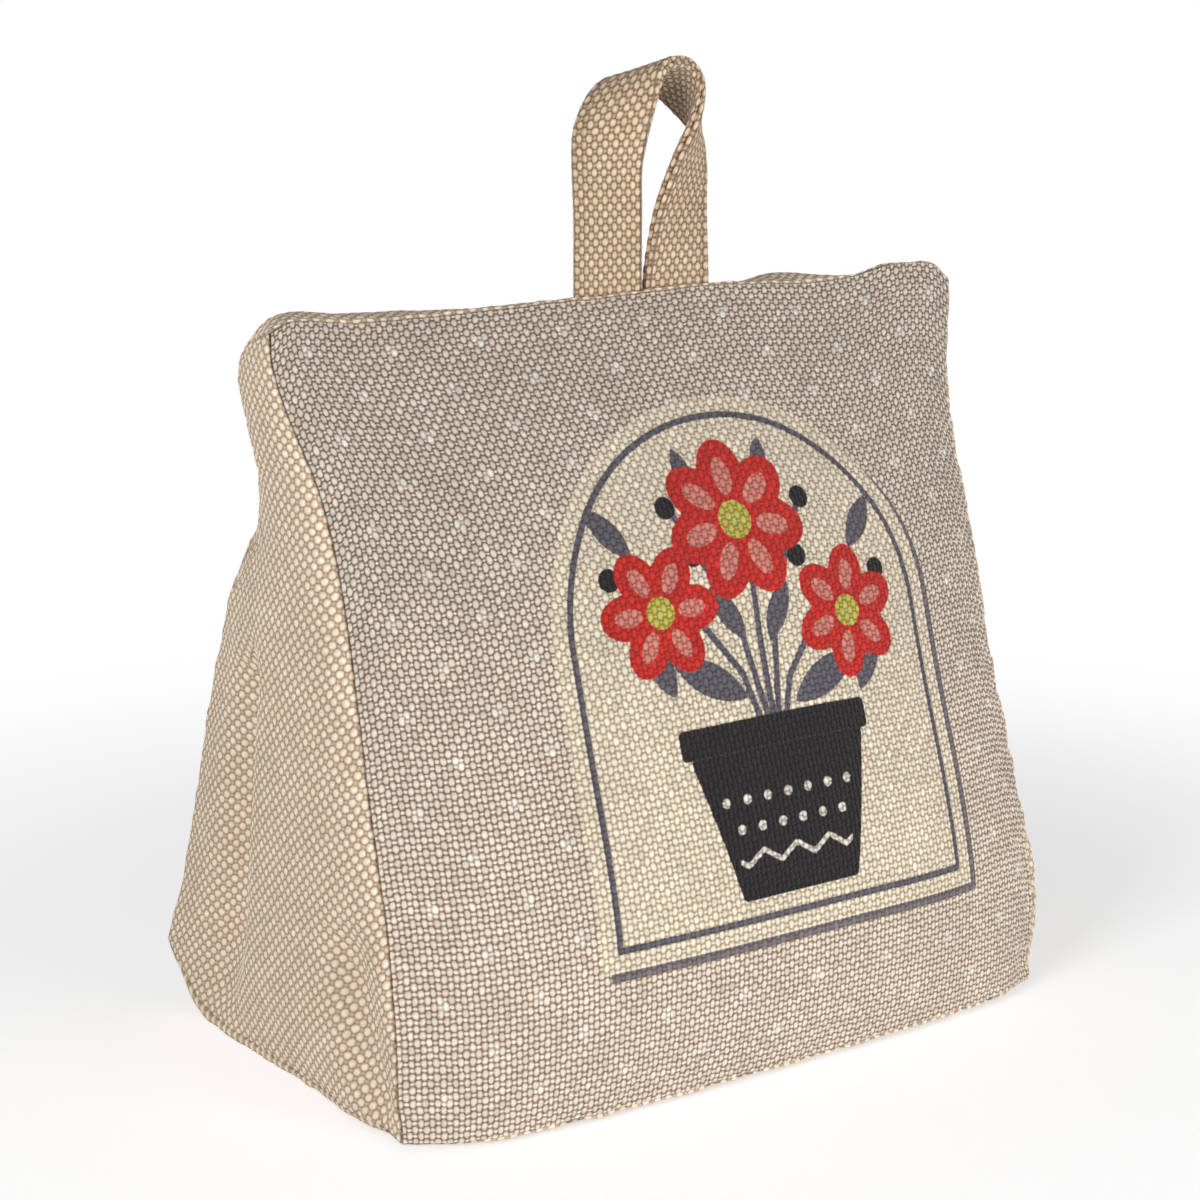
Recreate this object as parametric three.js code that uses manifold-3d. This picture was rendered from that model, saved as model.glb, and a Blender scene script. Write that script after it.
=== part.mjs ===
// A weighted door stop: a stuffed wedge of woven cloth with a loop of the same cloth to lift it by.
// Millimetres, +Z up. The front panel faces -Y, and the bag stands on its base panel at Z = 0.

import * as THREE from "three";
import Module from "manifold-3d";

// Cover, measured from seam to seam
const FRONT_WIDTH = 157; // between the front corners
const BACK_WIDTH = 165; // between the tips of the two back corners, which stick out
const TOP_WIDTH = 163.5; // between the ends of the ridge seam
const TOP_SHIFT = 1; // of the ridge seam to the right of the base
const DEPTH = 91; // of the base, front corners to back corners
const BACK_CORNER_REACH = 2; // how far the back corners stick out past that depth
const RIDGE_HEIGHT = 148; // the ends of the ridge seam
const RIDGE_SETBACK = 41.5; // of the ridge seam behind the front corners
const FRONT_CORNER_LIFT = 1; // of the front corners off the floor
const BACK_CORNER_LIFT = 15; // of the back corners off the floor
const HEM_LIFT = 1.4; // of the seams round the base between the corners
const HEM_RIM = 7; // width of the base's edge that curls up to those seams

// How far the filling pushes each panel out
const FRONT_CROWN = 12;
const BACK_CROWN = 7;
const SIDE_CROWN = 5;
const HEM_BULGE = 8.5; // of the front seam of the base
const BACK_HEM_BULGE = 3;
const BACK_HEM_TUCK = 4; // of the middle of that hem in from the back corners
const TOP_ROLL = 4.2; // of the back panel above the ridge seam
const TOP_ROLL_WIDTH = 6;
const BASE_ROLL = 2.4; // of the base panel out past its seams, under them
const BASE_ROLL_WIDTH = 2.5;
const SIDE_HEM_BULGE = 1.2;

// Cloth and clearances
const CLOTH = 1.2; // thickness of the cover, lining included
const SEAM_GAP = 0.3; // between two panels at their seam, and between a piece and what it lies on
const LONGEST_MITRE = 3.2; // of a seam's inner edge from its outer edge, in thicknesses of cloth

// How full a panel is: powers across and up it, where a higher one gives a flatter middle and steeper
// edges, and shifts, where one under 1 moves the fullest part towards the panel's first edge.
const FRONT_FORM = { across: 3, up: 2.6, shiftAcross: 1, shiftUp: 0.85 };
const BACK_FORM = { across: 5, up: 3, shiftAcross: 1, shiftUp: 1 };
const SIDE_FORM = { across: 2.6, up: 2.4, shiftAcross: 0.8, shiftUp: 0.7 };
const SOFT = 3; // power of what fades slowly towards a panel's edges
const SHARP = 8; // power of what reaches almost to them

// Filling
const SAND_LEVEL = 50; // height of the top of the sand bag

// Lifting loop: one strap, folded double, with both ends sewn into the ridge seam
const STRAP_WIDTH = 16;
const STRAP_THICKNESS = 2.4;
const STRAP_FEET_APART = 0.4; // between the two ends of the strap, side by side
const STRAP_TAIL = 8; // length of each end inside the seam
const LOOP_RISE = 42.5; // of the strap's middle above the ridge seam
const LOOP_CENTRE = 4.5; // sideways place of the loop, from the middle of the bag

// Grid lines of each panel
const COLUMNS = 20;
const ROWS = 20;
const DEPTH_LINES = 10;
const LOOP_STEPS = 44;
const SEAM_CROWDING = 0.5; // of the grid lines near the seams: 0 for none
// Points that are the same to this share of a millimetre are one. It is a power of two, so that no
// short decimal lies midway between two steps.
const KEY_STEPS = 1024;

const CLOTH_GREY = "#aa9b8b";
const CLOTH_CREAM = "#dcc59c";
const STRAP_CREAM = "#d2b98e";
const SACK_WHITE = "#d9d4c8";
const FIBRE_WHITE = "#f2f0ea";

// The seams of a filled bag are pulled in or pushed out, and the two sides differ. Each wave has pairs
// of a share of the seam's length and an offset in millimetres.
const RIDGE_WAVE = [
  [0, 0], [0.03, 2], [0.12, 0.7], [0.4, 1.6], [0.62, 2.7], [0.8, 1.7], [0.91, 4.3], [0.965, 3.8], [1, 0],
];
const FRONT_SEAM_PULL = {
  left: [
    [0, 0], [0.06, 1.2], [0.2, 3.6], [0.4, 4.6], [0.68, 6.2], [0.8, 4.8], [0.9, 0.8], [0.96, -0.6], [1, 0],
  ],
  right: [
    [0, 0], [0.06, -0.6], [0.17, -1.2], [0.3, 0.2], [0.42, 2], [0.5, 2.8], [0.65, 3.4], [0.78, 5.2], [0.9, 3.6],
    [0.96, 1.2], [1, 0],
  ],
};
const BACK_SEAM_PULL = [
  [0, 0], [0.1, 2.4], [0.25, 4.4], [0.45, 6.2], [0.6, 6.8], [0.71, 6.4], [0.8, 4.6], [0.9, 2], [1, 0],
];
const BACK_SEAM_REACH = [
  [0, 0], [0.1, 2], [0.25, 6], [0.4, 9.6], [0.6, 9.8], [0.71, 3.6], [0.8, 5], [0.88, 10.4], [0.935, 12.4],
  [0.975, 9], [1, 0],
];
const BACK_MIDDLE_REACH = [
  [0, 0], [0.1, 2], [0.3, 6], [0.5, 8.5], [0.75, 11], [0.88, 12], [0.935, 12], [0.975, 9], [1, 0],
];

// From left to right along its seam, the share of TOP_ROLL and of HEM_BULGE that the cloth takes.
const TOP_ROLL_WAVE = [
  [0, 1.7], [0.05, 1.5], [0.1, 1.1], [0.2, 0.75], [0.3, 0.4], [0.42, 0.35], [0.55, 0.5], [0.65, 0.35],
  [0.7, 0.5], [0.76, 1.1], [0.82, 0.55], [0.87, 0], [1, 0],
];
const FRONT_HEM_WAVE = [
  [0, 0], [0.06, 0.72], [0.14, 0.98], [0.35, 1], [0.6, 0.78], [0.76, 0.55], [0.92, 0.2], [1, 0],
];

// Hollows pressed into the cloth: two ends, as shares across and up the panel, with depth and half width.
const SIDE_HOLLOWS = {
  left: [
    { from: [0.82, 0.05], to: [0.72, 0.5], deep: 5, wide: 8 },
    { from: [0.14, 0.05], to: [0.16, 0.16], deep: 2.4, wide: 5 },
  ],
  right: [
    { from: [0.8, 0.06], to: [0.76, 0.34], deep: 4, wide: 8 },
    { from: [0.16, 0.06], to: [0.2, 0.2], deep: 2, wide: 6 },
  ],
};
const BACK_HOLLOWS = [
  { from: [0.1, 0.1], to: [0.2, 0.38], deep: 3.5, wide: 9 },
  { from: [0.9, 0.08], to: [0.82, 0.34], deep: 3, wide: 9 },
  { from: [0.3, 0.93], to: [0.36, 0.8], deep: 2, wide: 8 },
];

const wasm = await Module();
wasm.setup();

const { lerp, clamp, smoothstep } = THREE.MathUtils;
const SIDES = { left: -1, right: 1 };

// A smooth curve through pairs of share and value.
function wave(stations, t) {
  const last = stations.length - 1;
  let i = stations.findIndex(([share]) => share >= t);
  i = clamp(i < 0 ? last : i, 1, last);
  const [a, b] = [stations[i - 1], stations[i]];
  const before = stations[i - 2] ?? a;
  const after = stations[i + 1] ?? b;
  const span = b[0] - a[0];
  const s = clamp((t - a[0]) / span, 0, 1);
  const slopeIn = ((b[1] - before[1]) / (b[0] - before[0])) * span;
  const slopeOut = ((after[1] - a[1]) / (after[0] - a[0])) * span;
  const cube = s * s * s;
  const square = s * s;
  return (
    (2 * cube - 3 * square + 1) * a[1] +
    (cube - 2 * square + s) * slopeIn +
    (3 * square - 2 * cube) * b[1] +
    (cube - square) * slopeOut
  );
}

const between = (a, b, t) => new THREE.Vector3().lerpVectors(a, b, t);

// 0 at both ends of a panel and 1 over its middle. A higher power gives a flatter middle.
const dome = (t, power) => 1 - Math.abs(2 * t - 1) ** power;

function fullness({ across, up, shiftAcross, shiftUp }, u, v) {
  return dome(u ** shiftAcross, across) * dome(v ** shiftUp, up);
}

const FRONT_Y = -DEPTH / 2;
const BACK_Y = DEPTH / 2 + BACK_CORNER_REACH;
const RIDGE_Y = FRONT_Y + RIDGE_SETBACK;

const corner = {
  front: (side) => new THREE.Vector3((side * FRONT_WIDTH) / 2, FRONT_Y, FRONT_CORNER_LIFT),
  back: (side) => new THREE.Vector3((side * BACK_WIDTH) / 2, BACK_Y, BACK_CORNER_LIFT),
  ridge: (side) => new THREE.Vector3((side * TOP_WIDTH) / 2 + TOP_SHIFT, RIDGE_Y, RIDGE_HEIGHT),
};

// Seams, each a point for a share of its length: left to right, bottom to top or front to back.
function ridgeSeam(t) {
  const p = between(corner.ridge(-1), corner.ridge(1), t);
  p.z += wave(RIDGE_WAVE, t);
  return p;
}

function frontSeam(name, t) {
  const side = SIDES[name];
  const p = between(corner.front(side), corner.ridge(side), t);
  p.x -= side * wave(FRONT_SEAM_PULL[name], t);
  return p;
}

function backSeam(name, t) {
  const side = SIDES[name];
  const p = between(corner.back(side), corner.ridge(side), t);
  p.x -= side * wave(BACK_SEAM_PULL, t);
  p.y += wave(BACK_SEAM_REACH, t);
  return p;
}

function frontHem(t) {
  const p = between(corner.front(-1), corner.front(1), t);
  p.y -= HEM_BULGE * wave(FRONT_HEM_WAVE, t);
  p.z = lerp(p.z, HEM_LIFT, dome(t, SHARP));
  return p;
}

function backHem(t) {
  const p = between(corner.back(-1), corner.back(1), t);
  p.y += BACK_HEM_BULGE * dome(t, 2) - BACK_HEM_TUCK * dome(t, SHARP);
  p.z = lerp(p.z, HEM_LIFT, dome(t, SHARP));
  return p;
}

function sideHem(name, t) {
  const side = SIDES[name];
  const p = between(corner.front(side), corner.back(side), t);
  const straight = lerp(FRONT_WIDTH / 2, BACK_WIDTH / 2, t ** SHARP);
  p.x = side * (straight + SIDE_HEM_BULGE * dome(t, 2));
  p.z = lerp(p.z, HEM_LIFT, dome(t, SHARP));
  return p;
}

// 0 at a seam, 1 at a distance of 1 from it, and falling away beyond.
const lip = (distance) => distance * Math.exp(1 - distance);

// The surface stretched between four seams.
function stretched(u, v, bottom, top, left, right) {
  const acrossUp = between(bottom(u), top(u), v);
  const acrossSide = between(left(v), right(v), u);
  const flat = between(between(bottom(0), bottom(1), u), between(top(0), top(1), u), v);
  return acrossUp.add(acrossSide).sub(flat);
}

// How deep the hollows are at a point of a panel that measures width by height.
function hollow(hollows, u, v, width, height) {
  const at = new THREE.Vector2(u * width, v * height);
  const clearOfSeams = dome(u, SHARP) * dome(v, SHARP);
  return clearOfSeams * hollows.reduce((sum, { from, to, deep, wide }) => {
    const a = new THREE.Vector2(from[0] * width, from[1] * height);
    const b = new THREE.Vector2(to[0] * width, to[1] * height);
    const run = b.clone().sub(a);
    const share = clamp(at.clone().sub(a).dot(run) / run.lengthSq(), 0, 1);
    return sum + deep * Math.exp(-((at.distanceTo(a.addScaledVector(run, share)) / wide) ** 2));
  }, 0);
}

function frontPanel(u, v) {
  const p = stretched(u, v, frontHem, ridgeSeam, (t) => frontSeam("left", t), (t) => frontSeam("right", t));
  const out = new THREE.Vector3(0, -RIDGE_HEIGHT, RIDGE_SETBACK).normalize();
  return p.addScaledVector(out, FRONT_CROWN * fullness(FRONT_FORM, u, v));
}

function backPanel(u, v) {
  const p = stretched(u, v, backHem, ridgeSeam, (t) => backSeam("left", t), (t) => backSeam("right", t));
  const out = new THREE.Vector3(0, RIDGE_HEIGHT, BACK_Y - RIDGE_Y).normalize();
  p.y += (wave(BACK_MIDDLE_REACH, v) - wave(BACK_SEAM_REACH, v)) * dome(u, SOFT);
  const crown = BACK_CROWN * fullness(BACK_FORM, u, v);
  const fromRidge = ((1 - v) * RIDGE_HEIGHT) / TOP_ROLL_WIDTH;
  p.z += TOP_ROLL * wave(TOP_ROLL_WAVE, u) * lip(fromRidge) * dome(u, SHARP);
  return p.addScaledVector(out, crown - hollow(BACK_HOLLOWS, u, v, BACK_WIDTH, RIDGE_HEIGHT));
}

function sidePanel(name, u, v) {
  const side = SIDES[name];
  const hem = (t) => sideHem(name, t);
  const apex = () => corner.ridge(side);
  const p = stretched(u, v, hem, apex, (t) => frontSeam(name, t), (t) => backSeam(name, t));
  const crown = SIDE_CROWN * fullness(SIDE_FORM, u, v);
  const pressed = hollow(SIDE_HOLLOWS[name], u, v, DEPTH, RIDGE_HEIGHT);
  p.x += side * (crown - pressed);
  return p;
}

function basePanel(u, v) {
  const p = stretched(u, v, frontHem, backHem, (t) => sideHem("left", t), (t) => sideHem("right", t));
  const toEdge = Math.min(Math.min(u, 1 - u) * FRONT_WIDTH, Math.min(v, 1 - v) * DEPTH);
  p.z = Math.max(p.z, 0) * (1 - smoothstep(toEdge, 0, HEM_RIM));
  const fromEdge = toEdge / BASE_ROLL_WIDTH;
  const roll = BASE_ROLL * lip(fromEdge);
  p.x += roll * Math.sign(u - 0.5) * Math.abs(2 * u - 1) ** SHARP * dome(v, SHARP);
  p.y += roll * Math.sign(v - 0.5) * Math.abs(2 * v - 1) ** SHARP * dome(u, SHARP);
  return p;
}

// Grid lines of a panel lie closer together near its seams.
const spread = (i, count) => lerp(i / count, (1 - Math.cos((Math.PI * i) / count)) / 2, SEAM_CROWDING);

// Panels as grids of points. turned is true where the grid's own facing is inward.
const leftPanel = (u, v) => sidePanel("left", u, v);
const rightPanel = (u, v) => sidePanel("right", u, v);
const PANELS = {
  front_panel: { at: frontPanel, columns: COLUMNS, rows: ROWS, turned: false },
  back_panel: { at: backPanel, columns: COLUMNS, rows: ROWS, turned: true },
  left_side_panel: { at: leftPanel, columns: DEPTH_LINES, rows: ROWS, turned: true },
  right_side_panel: { at: rightPanel, columns: DEPTH_LINES, rows: ROWS, turned: false },
  base_panel: { at: basePanel, columns: COLUMNS, rows: DEPTH_LINES, turned: true },
};

function gridOf({ at, columns, rows, turned }) {
  const points = [];
  for (let i = 0; i <= columns; i++) {
    points.push([]);
    for (let j = 0; j <= rows; j++) points[i].push(at(spread(i, columns), spread(j, rows)));
  }
  return { points, columns, rows, turned };
}

// The two triangles of each cell, as grid places, facing out.
function cellsOf({ columns, rows, turned }) {
  const cells = [];
  for (let i = 0; i < columns; i++) {
    for (let j = 0; j < rows; j++) {
      const [a, b, c, d] = [[i, j], [i + 1, j], [i + 1, j + 1], [i, j + 1]];
      cells.push(...(turned ? [[a, c, b], [a, d, c]] : [[a, b, c], [a, c, d]]));
    }
  }
  return cells;
}

// The places round a grid's edge, in order.
function rimOf({ columns, rows }) {
  const rim = [];
  for (let i = 0; i < columns; i++) rim.push([i, 0]);
  for (let j = 0; j < rows; j++) rim.push([columns, j]);
  for (let i = columns; i > 0; i--) rim.push([i, rows]);
  for (let j = rows; j > 0; j--) rim.push([0, j]);
  return rim;
}

const keyOf = (p) => p.toArray().map((n) => Math.round(n * KEY_STEPS)).join(" ");

// Facing of a panel at each of its points, which the points that fall together share.
function facings(grid) {
  const sums = new Map();
  for (const cell of cellsOf(grid)) {
    const [a, b, c] = cell.map(([i, j]) => grid.points[i][j]);
    const area = b.clone().sub(a).cross(c.clone().sub(a));
    for (const p of [a, b, c]) {
      const key = keyOf(p);
      sums.set(key, (sums.get(key) ?? new THREE.Vector3()).add(area));
    }
  }
  sums.forEach((sum) => sum.normalize());
  return sums;
}

const grids = Object.fromEntries(Object.entries(PANELS).map(([name, panel]) => [name, gridOf(panel)]));
const facing = Object.fromEntries(Object.entries(grids).map(([name, grid]) => [name, facings(grid)]));

// The vector x with rows[i] . x = values[i]: a 3 by 3 system, by Cramer's rule.
function solved(rows, values) {
  const [a, b, c] = rows;
  const scale = a.dot(b.clone().cross(c));
  return b.clone().cross(c).multiplyScalar(values[0])
    .add(c.clone().cross(a).multiplyScalar(values[1]))
    .add(a.clone().cross(b).multiplyScalar(values[2]))
    .divideScalar(scale);
}

// The move that takes a point of the cover 1 mm inward from every panel that meets there.
function inwardAt(point) {
  const key = keyOf(point);
  const met = Object.values(facing).map((map) => map.get(key)).filter(Boolean);
  const move = met.length === 1 ? met[0].clone().negate()
    : met.length === 2 ? met[0].clone().add(met[1]).divideScalar(-1 - met[0].dot(met[1]))
      : solved(met, [-1, -1, -1]);
  return move.clampLength(0, LONGEST_MITRE);
}

// A side panel ends in one point at the ridge.
const runsToPoint = (name) => name.endsWith("side_panel");

// The move along a panel's own surface that opens half of the gap at its seams.
function pullAt(name, place) {
  const { points, columns, rows } = grids[name];
  const [i, j] = place;
  const p = points[i][j];
  const inward = inwardAt(p);
  const normal = facing[name].get(keyOf(p));
  const middle = points[clamp(i, 1, columns - 1)][clamp(j, 1, rows - 1)];
  const seams = [];
  const addSeam = (a, b) => {
    const along = b.clone().sub(a).normalize();
    const mitre = along.clone().cross(inward).normalize();
    if (mitre.dot(middle.clone().sub(p)) < 0) mitre.negate();
    seams.push({ along, mitre });
  };
  if (i === 0 || i === columns) addSeam(points[i][Math.max(j - 1, 0)], points[i][Math.min(j + 1, rows)]);
  if (j === 0 || (j === rows && !runsToPoint(name))) {
    addSeam(points[Math.max(i - 1, 0)][j], points[Math.min(i + 1, columns)][j]);
  }
  const half = SEAM_GAP / 2;
  const move = seams.length === 2
    ? solved([seams[0].mitre, seams[1].mitre, normal], [half, half, 0])
    : solved([seams[0].mitre, seams[0].along, normal], [half, 0, 0]);
  return move.clampLength(0, LONGEST_MITRE * SEAM_GAP);
}

// Where a side panel runs to its point at the ridge, both of its long seams bound it.
function apexPull(name) {
  const { points, columns, rows } = grids[name];
  const p = points[0][rows];
  const inward = inwardAt(p);
  const normal = facing[name].get(keyOf(p));
  const middle = points[Math.round(columns / 2)][rows - 1];
  const mitres = [0, columns].map((i) => {
    const along = p.clone().sub(points[i][rows - 1]).normalize();
    const mitre = along.cross(inward).normalize();
    return mitre.dot(middle.clone().sub(p)) < 0 ? mitre.negate() : mitre;
  });
  const half = SEAM_GAP / 2;
  return solved([...mitres, normal], [half, half, 0]).clampLength(0, LONGEST_MITRE * SEAM_GAP);
}

// Triangles given by their points, welded into one geometry without the ones that have no area.
function welded(triangles) {
  const places = new Map();
  const positions = [];
  const index = [];
  for (const triangle of triangles) {
    const ids = triangle.map((p) => {
      const key = keyOf(p);
      if (!places.has(key)) {
        places.set(key, places.size);
        positions.push(p.x, p.y, p.z);
      }
      return places.get(key);
    });
    if (new Set(ids).size === 3) index.push(...ids);
  }
  const geometry = new THREE.BufferGeometry();
  geometry.setAttribute("position", new THREE.Float32BufferAttribute(positions, 3));
  geometry.setIndex(index);
  return geometry;
}

// A panel as a slab of cloth, mitred at its seams.
function clothPanel(name) {
  const grid = grids[name];
  const rimPlaces = rimOf(grid);
  const pulls = new Map();
  for (const place of rimPlaces) {
    const atApex = runsToPoint(name) && place[1] === grid.rows;
    pulls.set(place.join(), atApex ? apexPull(name) : pullAt(name, place));
  }
  const outer = ([i, j]) => {
    const p = grid.points[i][j].clone();
    return pulls.has(`${i},${j}`) ? p.add(pulls.get(`${i},${j}`)) : p;
  };
  const inner = ([i, j]) => outer([i, j]).addScaledVector(inwardAt(grid.points[i][j]), CLOTH);
  const triangles = [];
  for (const cell of cellsOf(grid)) {
    triangles.push(cell.map(outer), cell.map(inner).reverse());
  }
  rimPlaces.forEach((place, k) => {
    const next = rimPlaces[(k + 1) % rimPlaces.length];
    const [a, b] = grid.turned ? [next, place] : [place, next];
    triangles.push([outer(a), inner(a), inner(b)], [outer(a), inner(b), outer(b)]);
  });
  return welded(triangles);
}

// Everything inside the cover, as one closed surface that keeps clear of the cloth.
function fillingGeometry() {
  const inside = CLOTH + SEAM_GAP;
  const triangles = [];
  for (const grid of Object.values(grids)) {
    for (const cell of cellsOf(grid)) {
      triangles.push(cell.map(([i, j]) => {
        const p = grid.points[i][j];
        return p.clone().addScaledVector(inwardAt(p), inside);
      }));
    }
  }
  return welded(triangles);
}

function solidOf(geometry) {
  return new wasm.Manifold(new wasm.Mesh({
    numProp: 3,
    vertProperties: geometry.getAttribute("position").array,
    triVerts: new Uint32Array(geometry.index.array),
  }));
}

function geometryOf(solid) {
  const { vertProperties, triVerts, numProp } = solid.getMesh();
  const positions = [];
  for (let k = 0; k < vertProperties.length; k += numProp) {
    positions.push(...vertProperties.subarray(k, k + 3));
  }
  const geometry = new THREE.BufferGeometry();
  geometry.setAttribute("position", new THREE.Float32BufferAttribute(positions, 3));
  geometry.setIndex([...triVerts]);
  return geometry;
}

function boxSolid(low, high) {
  const size = high.clone().sub(low);
  const box = new THREE.BoxGeometry(size.x, size.y, size.z);
  box.translate(...low.clone().add(high).divideScalar(2).toArray());
  const { array } = box.getAttribute("position");
  const triangles = [];
  for (let k = 0; k < box.index.count; k += 3) {
    triangles.push([0, 1, 2].map((n) => new THREE.Vector3().fromArray(array, box.index.array[k + n] * 3)));
  }
  return solidOf(welded(triangles));
}

// Lifting loop. Its route runs from the left end over the top to the right end.
const LOOP_FOOT = (STRAP_WIDTH + STRAP_FEET_APART) / 2;
const LOOP_Y = RIDGE_Y + CLOTH + SEAM_GAP + STRAP_THICKNESS / 2;
const LOOP_SEAM_Z = ridgeSeam(0.5).z;

// Stations of the loop: the middle's sideways share of the feet's place and share of the rise, then the
// turn of the strap about the upright and the lean of its back edge below its front edge, in degrees.
const LOOP_STATIONS = [
  { side: -1, rise: 0, turn: 180, lean: 0 },
  { side: -1, rise: 0.35, turn: 180, lean: 0 },
  { side: -1, rise: 0.62, turn: 175, lean: 0 },
  { side: -0.76, rise: 0.83, turn: 146, lean: 6 },
  { side: -0.25, rise: 1, turn: 114, lean: 14 },
  { side: 0.75, rise: 1, turn: 92, lean: 22 },
  { side: 1.35, rise: 0.9, turn: 78, lean: 22 },
  { side: 1.58, rise: 0.76, turn: 54, lean: 16 },
  { side: 1.42, rise: 0.6, turn: 35, lean: 9 },
  { side: 1.15, rise: 0.38, turn: 18, lean: 4 },
  { side: 1.02, rise: 0.12, turn: 4, lean: 0 },
  { side: 1, rise: 0, turn: 0, lean: 0 },
];

function loopSections() {
  const route = new THREE.CatmullRomCurve3(
    LOOP_STATIONS.map(({ side, rise }) => new THREE.Vector3(side * LOOP_FOOT, 0, rise * LOOP_RISE)),
    false,
    "centripetal",
  );
  const turns = LOOP_STATIONS.map(({ turn }, k) => [k / (LOOP_STATIONS.length - 1), turn]);
  const leans = LOOP_STATIONS.map(({ lean }, k) => [k / (LOOP_STATIONS.length - 1), lean]);
  const sections = [];
  for (let k = 0; k <= LOOP_STEPS; k++) {
    const t = k / LOOP_STEPS;
    const centre = route.getPoint(t).add(new THREE.Vector3(LOOP_CENTRE, LOOP_Y, LOOP_SEAM_Z));
    const turn = THREE.MathUtils.degToRad(wave(turns, t));
    const lean = THREE.MathUtils.degToRad(wave(leans, t));
    const across = new THREE.Vector3(Math.cos(turn), Math.sin(turn), -Math.tan(lean)).normalize();
    sections.push({ centre, along: route.getTangent(t), across });
  }
  const up = new THREE.Vector3(0, 0, 1);
  const tail = (section, along) => ({
    centre: section.centre.clone().addScaledVector(up, -STRAP_TAIL),
    along,
    across: section.across,
  });
  return [
    tail(sections[0], up),
    ...sections,
    tail(sections.at(-1), up.clone().negate()),
  ];
}

// Outline of the strap's section, with rounded edges.
const EDGE_ANGLES = [-90, -30, 30, 90];
function strapOutline() {
  const outline = [];
  const round = STRAP_THICKNESS / 2;
  const flat = STRAP_WIDTH / 2 - round;
  for (const side of [1, -1]) {
    for (const angle of EDGE_ANGLES) {
      const a = THREE.MathUtils.degToRad(angle);
      outline.push([side * (flat + round * Math.cos(a)), side * round * Math.sin(a)]);
    }
  }
  return outline;
}

function loopGeometry() {
  const outline = strapOutline();
  const rings = loopSections().map(({ centre, along, across }) => {
    const out = along.clone().cross(across).normalize();
    return outline.map(([w, d]) => centre.clone().addScaledVector(across, w).addScaledVector(out, d));
  });
  const triangles = [];
  const count = outline.length;
  for (let r = 0; r + 1 < rings.length; r++) {
    for (let k = 0; k < count; k++) {
      const n = (k + 1) % count;
      const [here, next] = [rings[r], rings[r + 1]];
      triangles.push([here[k], here[n], next[n]], [here[k], next[n], next[k]]);
    }
  }
  for (let k = 1; k + 1 < count; k++) {
    triangles.push([rings[0][0], rings[0][k + 1], rings[0][k]]);
    triangles.push([rings.at(-1)[0], rings.at(-1)[k], rings.at(-1)[k + 1]]);
  }
  return welded(triangles);
}

// The room that the two ends of the strap take in the ridge seam.
function seamPocket() {
  const half = new THREE.Vector3(LOOP_FOOT + STRAP_WIDTH / 2 + SEAM_GAP, STRAP_THICKNESS / 2 + SEAM_GAP, 0);
  const centre = new THREE.Vector3(LOOP_CENTRE, LOOP_Y, LOOP_SEAM_Z);
  const low = centre.clone().sub(half);
  const high = centre.clone().add(half);
  low.z -= STRAP_TAIL + SEAM_GAP;
  high.z += CLOTH + BACK_CROWN;
  return boxSolid(low, high);
}

function levelSlab(bottom, top) {
  const reach = BACK_WIDTH + DEPTH;
  return boxSolid(new THREE.Vector3(-reach, -reach, bottom), new THREE.Vector3(reach, reach, top));
}

const materialOf = (color, roughness) => new THREE.MeshStandardMaterial({ color, roughness, metalness: 0 });

function named(name, geometry, color, roughness) {
  const mesh = new THREE.Mesh(geometry, materialOf(color, roughness));
  mesh.name = name;
  return mesh;
}

const pocket = seamPocket();
const filling = solidOf(fillingGeometry());
const halfGap = SEAM_GAP / 2;
const sand = filling.intersect(levelSlab(0, SAND_LEVEL - halfGap));
const fibre = filling.intersect(levelSlab(SAND_LEVEL + halfGap, 2 * RIDGE_HEIGHT)).subtract(pocket);

const doorStop = new THREE.Group();
for (const name of Object.keys(PANELS)) {
  const slab = solidOf(clothPanel(name));
  const colour = name === "front_panel" ? CLOTH_GREY : CLOTH_CREAM;
  doorStop.add(named(name, geometryOf(slab.subtract(pocket)), colour, 0.95));
}
doorStop.add(named("lifting_loop", loopGeometry(), STRAP_CREAM, 0.95));
doorStop.add(named("sand_bag", geometryOf(sand), SACK_WHITE, 0.9));
doorStop.add(named("fibre_stuffing", geometryOf(fibre), FIBRE_WHITE, 1));

export default doorStop;
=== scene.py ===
import math

import bpy
import numpy as np
from bpy.props import FloatProperty, FloatVectorProperty, PointerProperty
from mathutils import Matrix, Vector, geometry, kdtree, noise


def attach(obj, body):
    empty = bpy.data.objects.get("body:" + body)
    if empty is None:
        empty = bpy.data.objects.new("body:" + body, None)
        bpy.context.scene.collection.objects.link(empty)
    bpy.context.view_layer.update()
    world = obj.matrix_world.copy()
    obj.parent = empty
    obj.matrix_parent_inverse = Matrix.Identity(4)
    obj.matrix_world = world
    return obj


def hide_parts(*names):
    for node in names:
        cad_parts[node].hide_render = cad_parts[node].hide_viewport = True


bl_info = {
    "name": "Weighted Door Stop",
    "version": (1, 0, 0),
    "blender": (4, 5, 0),
    "location": "View3D > Sidebar > Door Stop",
    "description": "Builds a stuffed wedge of woven cloth with a lifting loop",
    "category": "Object",
}

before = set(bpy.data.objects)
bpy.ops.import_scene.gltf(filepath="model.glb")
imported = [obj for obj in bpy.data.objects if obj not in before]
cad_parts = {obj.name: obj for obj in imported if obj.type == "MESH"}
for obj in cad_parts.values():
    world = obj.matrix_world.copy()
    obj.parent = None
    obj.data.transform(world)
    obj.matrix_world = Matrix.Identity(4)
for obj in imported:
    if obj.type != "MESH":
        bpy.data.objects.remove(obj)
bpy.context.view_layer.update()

MM = 0.001
BODY = "root"

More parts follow.
